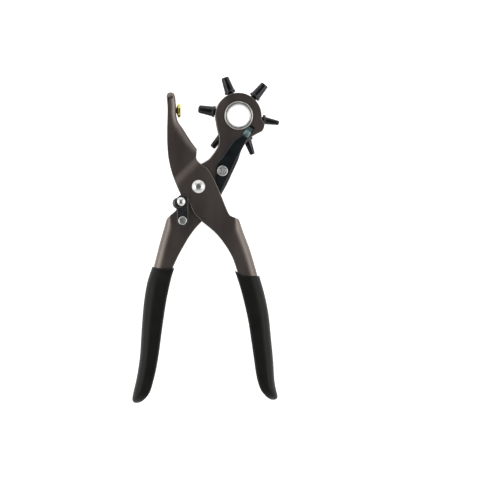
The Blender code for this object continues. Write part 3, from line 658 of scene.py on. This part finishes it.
def anvil_lever():
    """The outer lever: a folded sheet with its cheeks joggled inwards at the jaw, hollowed and bored."""
    back = ANVIL_BACK + ANVIL_TANG_BACK[1:]
    lower_face = JAW_FACE[len(JAW_FACE) // 2 + 1 :]
    folds = (
        (JAW_TIP, JAW_FOLD, JAW_TIP_EASE),
        (JAW_NECK_FACE, JAW_FOLD, EVEN),
        (JAW_FACE, JAW_BEND, JAW_BEND_FROM_NECK),
        (lower_face[::-1], JAW_BEND, JAW_BEND_FROM_CROSSING),
        (back, HANDLE_FOLD, HANDLE_EASE),
    )
    # The two edges that face the lights: worn, and with a painted highlight.
    wear_and_highlight = CROSSING_EDGE + LOWER_EDGE
    bm = folded_prism(ANVIL_OUTLINE, -OUTER_OUT, OUTER_OUT, folds, EDGE, wear_and_highlight)
    step_cheeks(bm, OUTER_OUT, JAW_OUT, OUTSIDE_STEP, STEP_CUTS, STEP_SKEW)
    lever = plain_object("anvil_lever_sheet", bm)
    jaw_inside = [Vector((-23.5, JAW_HOLLOW_END)), Vector((-19.0, 61.2))] + moved_right(JAW_FACE_WHOLE, SHEET)
    handle_inside = moved_right(back, SHEET)
    hollow = jaw_inside + [Vector((BEYOND, jaw_inside[-1].y)), Vector((BEYOND, handle_inside[0].y))]
    hollow += handle_inside + [Vector((handle_inside[-1].x, TANG_END)), Vector((-BEYOND, TANG_END))]
    hollow += [Vector((-BEYOND, JAW_HOLLOW_END))]
    cavity = folded_prism(hollow, -OUTER_HALF, OUTER_HALF, ((handle_inside, INNER_FOLD, HANDLE_EASE),))
    step_cheeks(cavity, OUTER_HALF, JAW_HALF, INSIDE_STEP, 1)
    cut(lever, [(cavity,), rod_cutter(PIVOT_HOLE, -2 * MIDDLE, 2 * MIDDLE)])
    piece(lever, "anvil_side", (GUNMETAL, GUNMETAL_WEAR_AND_HIGHLIGHT), ["anvil_lever"], flat=True)


def turret_lever():
    """The inner lever: a folded sheet with the turret's ring, hollowed, bored, and with the leaf's window."""
    back = TURRET_TANG_BACK[:-1] + TURRET_BACK
    folds = ((back[::-1], HANDLE_FOLD, HANDLE_EASE),)
    # The neck and the part of the ring's edge that face the lights: worn, and with a painted highlight.
    wear_and_highlight = TURRET_NECK + RING[:WEAR_AND_HIGHLIGHT_RING_POINTS]
    bm = folded_prism(TURRET_OUTLINE, -INNER_OUT, INNER_OUT, folds, EDGE, wear_and_highlight)
    lever = plain_object("turret_lever_sheet", bm)
    web_inside = moved_right(back, SHEET)
    hollow = [Vector((web_inside[0].x, TANG_END))] + web_inside
    hollow += [Vector((-BEYOND, web_inside[-1].y)), Vector((-BEYOND, BEYOND)), Vector((BEYOND, BEYOND))]
    hollow += [Vector((BEYOND, TANG_END))]
    start, end, half = SPRING_WINDOW
    window = [along_spring(*corner) for corner in ((start, -half), (end, -half), (end, half), (start, half))]
    through = 2 * INNER_OUT
    cutters = [
        (folded_prism(hollow, -INNER_HALF, INNER_HALF, ((web_inside[::-1], INNER_FOLD, HANDLE_EASE),)),),
        rod_cutter(PIVOT_HOLE, -through, through),
        rod_cutter(EYELET_BARREL + GAP, -through, through, (*TURRET, 0)),
        rod_cutter(RIVET_HOLE, -through, through, (*SPRING_ROOT, 0)),
        rod_cutter(RIVET_HOLE, 0, through, (*LATCH_PIVOT, 0)),
        (prism(window, 0, through),),
    ]
    cut(lever, cutters)
    piece(lever, "turret_side", (GUNMETAL, GUNMETAL_WEAR_AND_HIGHLIGHT), ["turret_lever"], flat=True)


# ---------------------------------------------------------------- rivets, anvil and eyelet


def cap(radius, low, rise, steps=12):
    """The profile of a domed head, from its middle to its rim."""
    ball = (radius**2 + rise**2) / (2 * rise)
    widest = math.asin(radius / ball)
    made = []
    for step in range(steps + 1):
        angle = widest * step / steps
        made.append((ball * math.sin(angle), low + rise - ball * (1 - math.cos(angle))))
    return made


def pivot_rivet():
    """The main rivet: a dome with a peened disc in its middle, a shank, and a flatter head at the rear."""
    front = OUTER_OUT + GAP
    shank = PIVOT_HOLE - GAP
    disc_radius = 2.0
    back = [(4.7, -front), (4.7, -front - 0.9), (4.2, -MIDDLE), (0, -MIDDLE)]
    dome = [point for point in cap(4.3, front + 0.4, 1.8, 24) if point[0] > disc_radius + 0.15]
    peened = front + 1.6
    flat = [(0, peened), (1.0, peened), (1.7, peened), (1.95, front + 1.65), (2.1, front + 1.78)]
    profile = flat + dome + [(4.5, front + 0.25), (4.5, front)]
    profile += [(shank, front), (shank, -front)] + fillet(back, 0.35)
    obj = plain_object("pivot_rivet_turned", turned(profile, 72, inner_radius=disc_radius))
    piece(obj, "anvil_side", (NICKEL, PEENED), ["pivot_rivet"])


def anvil_pad():
    """A thick disc on a neck, with a thinner tail through the jaw's web and a peened end behind it."""
    jaw_web = -15.1
    foot = jaw_web - ANVIL_FACE.x
    radius, neck, tail = 4.85, 2.4, 1.85
    profile = [(0, 0), (radius - 0.25, 0), (radius, -0.25), (radius, -1.75), (radius - 0.3, -2.0)]
    profile += [(3.6, -2.2), (3.0, -2.4), (2.6, -2.7), (neck, foot), (tail, foot), (tail, foot - 2.4)]
    profile += [(2.8, foot - 2.5), (2.6, foot - 3.0), (1.6, foot - 3.25), (0, foot - 3.3)]
    bm = turned(fillet(profile, 0.3), 72)
    at = (ANVIL_FACE.x, ANVIL_FACE.y, 0)
    obj = plain_object("anvil_pad_turned", bm, Matrix.Rotation(math.radians(90), 3, "Y"), at)
    piece(obj, "anvil_side", (BRASS,), ["anvil_pad"])


def roll(centre, low, half_width, rise):
    """Half an ellipse of the eyelet's profile, from its outer side to its inner side."""
    made = []
    for step in range(10):
        angle = math.radians(20 * step)
        made.append((centre + half_width * math.cos(angle), low + rise * math.sin(angle)))
    return made


def eyelet():
    """The turret's hollow axle, with two rolled rims and a groove between them on each side."""
    low = INNER_OUT + GAP
    outer_roll = roll(9.4, low + 0.2, 0.45, 0.95)
    inner_roll = roll(7.9, low + 0.35, 0.5, 0.95)
    groove = [(8.8, low + 0.45), (8.45, low + 0.45)]
    front = [(EYELET_BARREL, low), (9.85, low)] + outer_roll + groove + inner_roll
    back = [(radius, -height) for radius, height in front][::-1]
    obj = plain_object("turret_eyelet_rolled", turned(front + back, 96, closed=True), at=(*TURRET, 0))
    piece(obj, "turret_side", (NICKEL,), ["turret_eyelet"], sharp=50)


def index_rivet():
    """The leaf's rivet, with three raised bars in its dished head."""
    front = SPRING_LOW + SPRING_SHEET + GAP
    back = -INNER_OUT - GAP
    shank = RIVET_HOLE - GAP
    profile = [(0, front + 0.75), (2.95, front + 0.75), (3.1, front + 1.15), (3.35, front + 1.2)]
    profile += [(3.7, front + 0.8), (3.75, front), (shank, front), (shank, back), (3.0, back)]
    profile += [(2.8, back - 0.7), (0, back - 1.0)]
    bm = turned(fillet(profile, 0.22), 64, inner_radius=2.9)
    head = plain_object("index_rivet_turned", bm, at=(*SPRING_ROOT, 0))
    piece(head, "turret_side", (DULL_NICKEL, KNURL_FLOOR), ["index_spring_rivet"])
    pitch, half_width, low = 1.7, 0.45, front + 0.6
    for number, half_length in ((-1, 1.3), (0, 2.3), (1, 1.3)):
        x = number * pitch
        outline = [Vector((x - half_width, -half_length)), Vector((x - half_width, half_length))]
        outline += [Vector((x + half_width, half_length)), Vector((x + half_width, -half_length))]
        bm = folded_prism(outline, low, low + 0.65, (), BAR_EDGE)
        bar = plain_object(f"index_rivet_bar_{number + 2}", bm, at=(*SPRING_ROOT, 0))
        piece(bar, "turret_side", (NICKEL,), [])


# ---------------------------------------------------------------- turret


def hub():
    """A wheel with bevelled rims and a shallow groove round its middle."""
    rim, half = HUB_RADIUS, HUB_HALF
    bevel, groove = 0.9, 0.5
    outer = [(EYELET_BARREL + GAP, half), (rim - bevel, half), (rim, half - bevel)]
    outer += [(rim, 0.7), (rim - groove, 0.4), (rim - groove, 0)]
    upper = fillet(outer, 0.4, 3)
    lower = [(radius, -height) for radius, height in upper[:-1]][::-1]
    obj = plain_object("turret_hub_turned", turned(upper + lower, 96, closed=True), at=(*TURRET, 0))
    piece(obj, "turret", (HUB_STEEL,), ["turret_hub"])


def tube(index, bore):
    """A cutting tube with a collar. Its profile starts inside the hub and ends at the bottom of the bore."""
    low, high = TUBE_COLLAR
    wall_at_edge = 0.22
    edge = bore / 2 + wall_at_edge
    base, least_tip, shoulder = STOUT_TUBE if bore > SMALLEST_STOUT_BORE else SLIM_TUBE
    tip = max(edge + shoulder, least_tip)
    profile = [(0, low - 0.6), (2.3, low - 0.6), (2.3, low), (3.6, low), (3.95, low + 0.4)]
    profile += [(3.95, high - 0.45), (3.65, high - 0.05), (base + 0.1, high + 0.15), (base, high + 0.7)]
    profile += [(tip, TUBE_TIP - 0.9), (edge + 0.02, TUBE_TIP), (bore / 2, TUBE_TIP - 0.02)]
    profile += [(bore / 2, TUBE_TIP - 7.0), (0, TUBE_TIP - 7.6)]
    turn = Matrix.Rotation(math.radians(FIRST_TUBE_ANGLE - TUBE_STEP * index), 3, "Z")
    turn = turn @ Matrix.Rotation(math.radians(90), 3, "Y")
    name = f"punch_tube_{bore:.1f}mm".replace(".", "_")
    obj = plain_object(f"{name}_turned", turned(fillet(profile, 0.22, 3), 56), turn, (*TURRET, 0))
    piece(obj, "turret", (BLACK,), [name])


# ---------------------------------------------------------------- springs


def index_spring():
    """The leaf, lofted along its length, and the nose under its tip that drops into the hub's notches."""
    tip_low = INNER_HALF + 0.05
    stations = (  # distance along the leaf, left half-width, right half-width, underside's height
        (-13.0, -6.7, 7.2, SPRING_LOW),
        (-11.6, -4.8, 7.0, SPRING_LOW),
        (-8.6, -0.5, 6.6, SPRING_LOW),
        (-5.5, 2.1, 6.1, SPRING_LOW),
        (-3.0, 3.7, 5.8, SPRING_LOW),
        (0.5, 5.7, 5.4, SPRING_LOW),
        (4.7, 5.6, 4.7, SPRING_LOW),
        (10.8, 5.0, 3.9, SPRING_LOW),
        (18.0, 4.9, 3.2, SPRING_LOW),
        (22.5, 4.4, 2.8, SPRING_LOW),
        (27.0, 2.6, 2.5, SPRING_LOW),
        (30.0, 2.4, 2.4, SPRING_LOW - 0.9),
        (33.0, 2.35, 2.35, tip_low + 0.15),
        (35.6, 2.3, 2.3, tip_low),
    )
    smooth = curve_through([Vector(station) for station in stations], 5)
    rings = []
    wide, deep = 0.4, 0.3
    for along, left, right, low in smooth:
        high = low + SPRING_SHEET
        reach = min(wide, (left + right) / 3)
        corners = ((left, low), (left, high - deep), (left - reach, high))
        corners += ((-right + reach, high), (-right, high - deep), (-right, low))
        rings.append([Vector((along, aside, height)) for aside, height in corners])
    turn = Matrix.Rotation(SPRING_ANGLE, 3, "Z")
    # The leaf's two bevels take the bright worn metal, which also paints a highlight along its edges.
    leaf = plain_object("index_spring_leaf", lofted(rings, wear_and_highlight=(1, 3)), turn, (*SPRING_ROOT, 0))
    cut(leaf, [rod_cutter(RIVET_HOLE, SPRING_LOW - 1, SPRING_LOW + 2, (*SPRING_ROOT, 0))])
    piece(leaf, "index_leaf", (BLUED, LATCH_WEAR_AND_HIGHLIGHT), ["index_spring"])
    nose_low, nose_high = HUB_HALF + GAP, tip_low + 0.3
    profile = fillet([(0, nose_low), (0.8, nose_low + 0.1), (1.2, nose_high), (0, nose_high)], 0.3)
    nose = plain_object("index_spring_nose", turned(profile, 32), at=(*along_spring(34.2, -0.6), 0))
    piece(nose, "index_leaf", (BLUED,), [])


def opening_spring():
    """A torsion spring round the bush, with a straight leg into each handle."""
    wire, radius, pitch, per_turn, whole_turns = 0.7, 5.1, 1.45, 40, 4
    leg_ends = (Vector((25.2, -28.0)), Vector((-13.6, -32.0)))
    angles = [math.atan2(end.y, end.x) for end in leg_ends]
    start = angles[0] + math.acos(radius / leg_ends[0].length)
    finish = angles[1] - math.acos(radius / leg_ends[1].length) + 2 * math.pi * (whole_turns + 1)
    steps = round((finish - start) / (2 * math.pi) * per_turn)
    route = []
    for step in range(steps + 1):
        angle = start + (finish - start) * step / steps
        height = pitch * (angle - (start + finish) / 2) / (2 * math.pi)
        route.append(Vector((radius * math.cos(angle), radius * math.sin(angle), height)))
    route = [Vector((*leg_ends[0], route[0].z))] + route + [Vector((*leg_ends[1], route[-1].z))]
    curve = bpy.data.curves.new("opening_spring_wire", "CURVE")
    curve.dimensions = "3D"
    curve.bevel_depth = wire * MM
    curve.bevel_resolution = 4
    curve.use_fill_caps = True
    spline = curve.splines.new("POLY")
    spline.points.add(len(route) - 1)
    for point, place in zip(spline.points, route):
        point.co = (*((place + Vector((0, 0, MIDDLE))) * MM), 1)
    obj = bpy.data.objects.new("opening_spring_wire", curve)
    SCENE.collection.objects.link(obj)
    curve.materials.append(HUB_STEEL)
    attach(obj, "anvil_side")
    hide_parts("opening_spring")


# ---------------------------------------------------------------- latch


def latch():
    """The pressed plate with its thumb lobe, its marked stud, and the rivet it swings on."""
    half_width, thumb_radius = 3.85, 3.9
    thumb = Vector((-3.1, 11.9))
    top = 17.5
    outline = joined(
        arc((0, 0), half_width, 360.0, 180.0, 28),
        [Vector((-half_width, 6.2)), Vector((-half_width - 0.15, 7.2)), Vector((-half_width - 0.6, 8.1))],
        arc(thumb, thumb_radius, 232.0, 100.0, 26),
        arc((-half_width + 2.6, top - 1.6), 1.6, 150.0, 90.0, 8),
        arc((half_width - 1.0, top - 1.0), 1.0, 90.0, 0.0, 8),
    )
    # The whole rim takes the bright worn metal, which also paints the plate's edge highlight.
    bm = folded_prism(outline, LATCH_LOW, LATCH_TOP, (), LATCH_EDGE_ROUNDING, wear_and_highlight=outline)
    plate = plain_object("latch_plate_pressed", bm, at=(*LATCH_PIVOT, 0))
    piece(plate, "latch", (LATCH_BLACK, LATCH_WEAR_AND_HIGHLIGHT), ["latch_plate"], flat=True)
    lobe = fillet([(3.55, -0.1), (3.3, 0.35), (2.2, 0.75), (0, 0.9)], 0.5)
    lobe = [(0, -0.1)] + lobe
    knob = plain_object("latch_thumb_lobe", turned(lobe, 56), at=(*(LATCH_PIVOT + thumb), LATCH_TOP))
    piece(knob, "latch", (LATCH_BLACK,), [])
    front = LATCH_TOP + GAP
    profile = cap(3.0, front + 0.15, 1.25) + [(3.0, front), (1.2, front), (1.2, LATCH_LOW), (0, LATCH_LOW)]
    stud = plain_object("latch_stud_turned", turned(profile, 56), at=(*LATCH_STUD, 0))
    mark = prism(arc((0, -0.35), 0.7, 90, 330, 2), front + 0.9, front + 3)
    cut(stud, [(mark, None, (*LATCH_STUD, 0))])
    piece(stud, "latch", (NICKEL,), ["latch_stud"], sharp=30)
    # A thin dark disc at the bottom of the stud's cut mark: painted shade in that recess.
    dot = prism(arc((0, -0.35), 0.65, 90, 330, 2), front + 0.85, front + 0.95)
    piece(plain_object("latch_stud_mark_shade", dot, at=(*LATCH_STUD, 0)), "latch", (RECESS_SHADE,), [])
    inside = INNER_HALF - GAP
    shank = RIVET_HOLE - GAP
    profile = [(0, front + 0.75), (1.4, front + 0.8), (2.4, front + 0.85), (2.9, front + 0.5), (3.0, front)]
    profile += [(shank, front), (shank, inside), (2.8, inside), (2.4, inside - 0.6), (0, inside - 0.6)]
    bm = turned(fillet(profile, 0.25), 56, inner_radius=2.0)
    rivet = plain_object("latch_rivet_turned", bm, at=(*LATCH_PIVOT, 0))
    piece(rivet, "turret_side", (DULL_NICKEL, PEENED), ["latch_rivet"])


# ---------------------------------------------------------------- grips


def grip(name, outer, inner, mouth_half, lip_half, mouth_dip, body):
    """A dipped vinyl sleeve, rounder on its outer side than on its inner side, and closed at its tip."""
    outer = evenly(curve_through(outer), GRIP_STATIONS)
    inner = evenly(curve_through(inner), GRIP_STATIONS)
    rings = []
    for index in range(GRIP_STATIONS):
        start, end = inner[index], outer[index]
        width = (end - start).length
        across = (end - start) / width
        ahead_point = (inner[index + 1] + outer[index + 1]) / 2
        ahead = (ahead_point - (start + end) / 2).normalized()
        fullness = min(1.0, width / FULL_WIDTH)
        full = mouth_half + (GRIP_HALF - mouth_half) * smoothstep(index / SWELL_STATIONS)
        to_end = min(1.0, (GRIP_STATIONS - index) / END_STATIONS)
        half = full * math.sqrt(1 - (1 - fullness) ** 2) * math.sqrt(1 - (1 - to_end) ** 2)
        inner_reach, inner_drop = min(INNER_CORNER, width * 0.2), min(INNER_CORNER, half * 0.3)
        outer_reach, outer_drop = min(OUTER_CORNER[0], width * 0.5), min(OUTER_CORNER[1], half * 0.75)
        side = [(0.0, 0.0)]
        for step in range(CORNER_STEPS + 1):
            angle = math.radians(90 * step / CORNER_STEPS)
            side.append((inner_reach * (1 - math.cos(angle)), half - inner_drop * (1 - math.sin(angle))))
        flat_start, flat_end = inner_reach, width - outer_reach
        for step in range(1, 6):
            side.append((flat_start + (flat_end - flat_start) * step / 6, half))
        for step in range(CORNER_STEPS, -1, -1):
            angle = math.radians(90 * step / CORNER_STEPS)
            reach = width - outer_reach * (1 - math.cos(angle))
            side.append((reach, half - outer_drop * (1 - math.sin(angle))))
        side.append((width, 0.0))
        loop = side + [(reach, -height) for reach, height in side[-2:0:-1]]
        ring = []
        for reach, height in loop:
            dip = mouth_dip(reach / width) * math.exp(-index / 3)
            place = start + across * reach + ahead * dip
            ring.append(Vector((place.x, place.y, height)))
        rings.append(ring)
    rings.append([Vector((outer[-1].x, outer[-1].y, 0)).lerp(point, 0.12) for point in rings[-1]])
    first = rings[0]
    centre = sum(first, Vector()) / len(first)
    ahead = (sum(rings[4], Vector()) / len(first) - centre).normalized()
    tight = lip_half / mouth_half

    def shrunk(ring, by, deep):
        """The mouth's ring drawn in by one distance and moved into the sleeve by another."""
        made = []
        for point in ring:
            inward = (centre - point) * Vector((1, 1, 0))
            moved = point + inward.normalized() * by + ahead * deep
            made.append(Vector((moved.x, moved.y, point.z * (1 - (1 - tight) * by / LIP_THICKNESS))))
        return made

    lip = [shrunk(first, LIP_THICKNESS, 2.5), shrunk(first, LIP_THICKNESS, 0.3)]
    lip += [shrunk(first, 0.65, -0.15), shrunk(first, 0.3, -0.22), shrunk(first, 0.08, -0.1)]
    obj = plain_object(f"{name}_sleeve", lofted(lip + rings))
    piece(obj, body, (VINYL,), [name], sharp=70)


LEFT_OUTER = (
    (-32.0, -55.4),
    (-35.3, -65.6),
    (-37.6, -79.1),
    (-39.1, -96.3),
    (-40.3, -115.2),
    (-41.6, -125.7),
    (-43.1, -133.7),
    (-44.9, -141.4),
    (-45.8, -146.2),
    (-45.2, -148.6),
    (-43.2, -149.5),
)
LEFT_INNER = (
    (-16.8, -56.4),
    (-19.3, -64.9),
    (-22.3, -79.1),
    (-24.9, -96.3),
    (-27.3, -114.3),
    (-29.2, -125.7),
    (-31.3, -134.6),
    (-33.5, -141.7),
    (-37.0, -146.4),
    (-40.4, -148.8),
    (-43.2, -149.5),
)
RIGHT_OUTER = (
    (42.1, -61.9),
    (45.8, -75.3),
    (48.4, -88.7),
    (50.2, -106.0),
    (51.5, -119.8),
    (52.4, -133.7),
    (53.8, -141.0),
    (54.6, -144.2),
    (54.2, -146.4),
    (52.4, -147.3),
)
RIGHT_INNER = (
    (25.2, -58.4),
    (29.4, -71.6),
    (33.9, -90.3),
    (36.4, -106.0),
    (38.2, -118.3),
    (40.0, -130.6),
    (42.4, -139.0),
    (45.9, -143.9),
    (49.2, -146.6),
    (52.4, -147.3),
)


def left_mouth(across):
    return 0.9 * math.sin(math.pi * across)


def right_mouth(across):
    return 2.4 * smoothstep(across / 0.25) * (1 - smoothstep((across - 0.25) / 0.75))


# ---------------------------------------------------------------- the object


def carried_over():
    """The hidden CAD pieces keep their shape and get the fine materials."""
    looks = {
        "pivot_bush": DULL_NICKEL,
        "jaw_spacer": DULL_NICKEL,
        "turret_washer_front": NICKEL,
        "turret_washer_rear": NICKEL,
        "latch_spacer": DULL_NICKEL,
    }
    for name, look in looks.items():
        for index in range(len(frame["nodes"][name].material_slots)):
            frame["nodes"][name].material_slots[index].material = look


def build():
    VINYL.node_tree.nodes["Principled BSDF"].inputs["Specular IOR Level"].default_value = VINYL_SHINE
    tip = along_spring(0)
    forward = along_spring(1) - tip
    start = Vector((tip.x, tip.y, 0)) * MM
    add_tip_colour(BLUED, start, (forward.x, forward.y, 0), TIP_COLOUR_SPAN, TIP_COLOUR)
    anvil_lever()
    turret_lever()
    pivot_rivet()
    anvil_pad()
    eyelet()
    index_rivet()
    hub()
    for index, bore in enumerate(TUBE_BORES):
        tube(index, bore)
    index_spring()
    opening_spring()
    latch()
    left_lip, right_lip = INNER_OUT + LIP_CLEARANCE, OUTER_OUT + LIP_CLEARANCE
    grip("grip_left", LEFT_OUTER, LEFT_INNER, LEFT_MOUTH_HALF, left_lip, left_mouth, "turret_side")
    grip("grip_right", RIGHT_OUTER, RIGHT_INNER, RIGHT_MOUTH_HALF, right_lip, right_mouth, "anvil_side")
    carried_over()


# ---------------------------------------------------------------- stage, lights and camera


def floor():
    """A white floor that glows a little, for the photo's plain ground."""
    bm = bmesh.new()
    bmesh.ops.create_grid(bm, x_segments=1, y_segments=1, size=FLOOR_HALF_SIZE)
    mesh = bpy.data.meshes.new("floor")
    bm.to_mesh(mesh)
    bm.free()
    obj = bpy.data.objects.new("floor", mesh)
    SCENE.collection.objects.link(obj)
    paper = bpy.data.materials.new("white_paper")
    paper.use_nodes = True
    shader = paper.node_tree.nodes["Principled BSDF"]
    shader.inputs["Base Color"].default_value = (0.9, 0.9, 0.9, 1)
    shader.inputs["Emission Color"].default_value = (1, 1, 1, 1)
    shader.inputs["Emission Strength"].default_value = FLOOR_GLOW
    shader.inputs["Roughness"].default_value = 0.9
    shader.inputs["Specular IOR Level"].default_value = 0.1
    mesh.materials.append(paper)


def area_light(name, place, target, size, power):
    """A rectangular soft box aimed at a point."""
    light = bpy.data.lights.new(name, "AREA")
    light.shape = "RECTANGLE"
    light.size, light.size_y = size
    light.energy = power
    obj = bpy.data.objects.new(name, light)
    obj.location = place
    obj.rotation_mode = "QUATERNION"
    obj.rotation_quaternion = (Vector(target) - Vector(place)).to_track_quat("-Z", "Y")
    SCENE.collection.objects.link(obj)


def studio():
    """A bright horizon all round, a dim zenith, soft boxes on both sides and one beyond the jaws."""
    world = bpy.data.worlds.new("studio")
    world.use_nodes = True
    nodes, links = world.node_tree.nodes, world.node_tree.links
    place = nodes.new("ShaderNodeTexCoord")
    split = nodes.new("ShaderNodeSeparateXYZ")
    ramp = nodes.new("ShaderNodeValToRGB")
    ramp.color_ramp.interpolation = "EASE"
    ramp.color_ramp.elements[0].position = 0.35
    ramp.color_ramp.elements[0].color = HORIZON
    ramp.color_ramp.elements[1].position = 0.93
    ramp.color_ramp.elements[1].color = ZENITH
    links.new(place.outputs["Generated"], split.inputs["Vector"])
    links.new(split.outputs["Z"], ramp.inputs["Fac"])
    links.new(ramp.outputs["Color"], nodes["Background"].inputs["Color"])
    nodes["Background"].inputs["Strength"].default_value = 1.0
    SCENE.world = world
    centre = (CAD_BOX[0] + CAD_BOX[1]) / 2
    for name, side in (("left_box", -1), ("right_box", 1)):
        place = (centre.x + side * SIDE_BOX_AWAY, centre.y, SIDE_BOX_HEIGHT)
        area_light(name, place, centre, SIDE_BOX_SIZE, SIDE_BOX_POWER)
    place = (centre.x + TOP_BOX_PLACE[0], centre.y + TOP_BOX_PLACE[1], TOP_BOX_HEIGHT)
    area_light("top_edge_box", place, centre, TOP_BOX_SIZE, TOP_BOX_POWER)


def camera():
    """Straight above the tool, with the view shifted so that the tool stands left of its middle."""
    view_width, height, aside, lift = 334.6, 2200.0, 25.5, 0.2
    centre = (CAD_BOX[0] + CAD_BOX[1]) / 2
    data = bpy.data.cameras.new("camera")
    data.sensor_width = 36.0
    data.lens = data.sensor_width * height / view_width
    data.shift_x = aside / view_width
    data.shift_y = -lift / view_width
    obj = bpy.data.objects.new("camera", data)
    obj.location = (centre.x, centre.y, (MIDDLE + INNER_OUT + height) * MM)
    SCENE.collection.objects.link(obj)
    SCENE.camera = obj


build()
floor()
studio()
camera()
SCENE.view_settings.view_transform = "Standard"
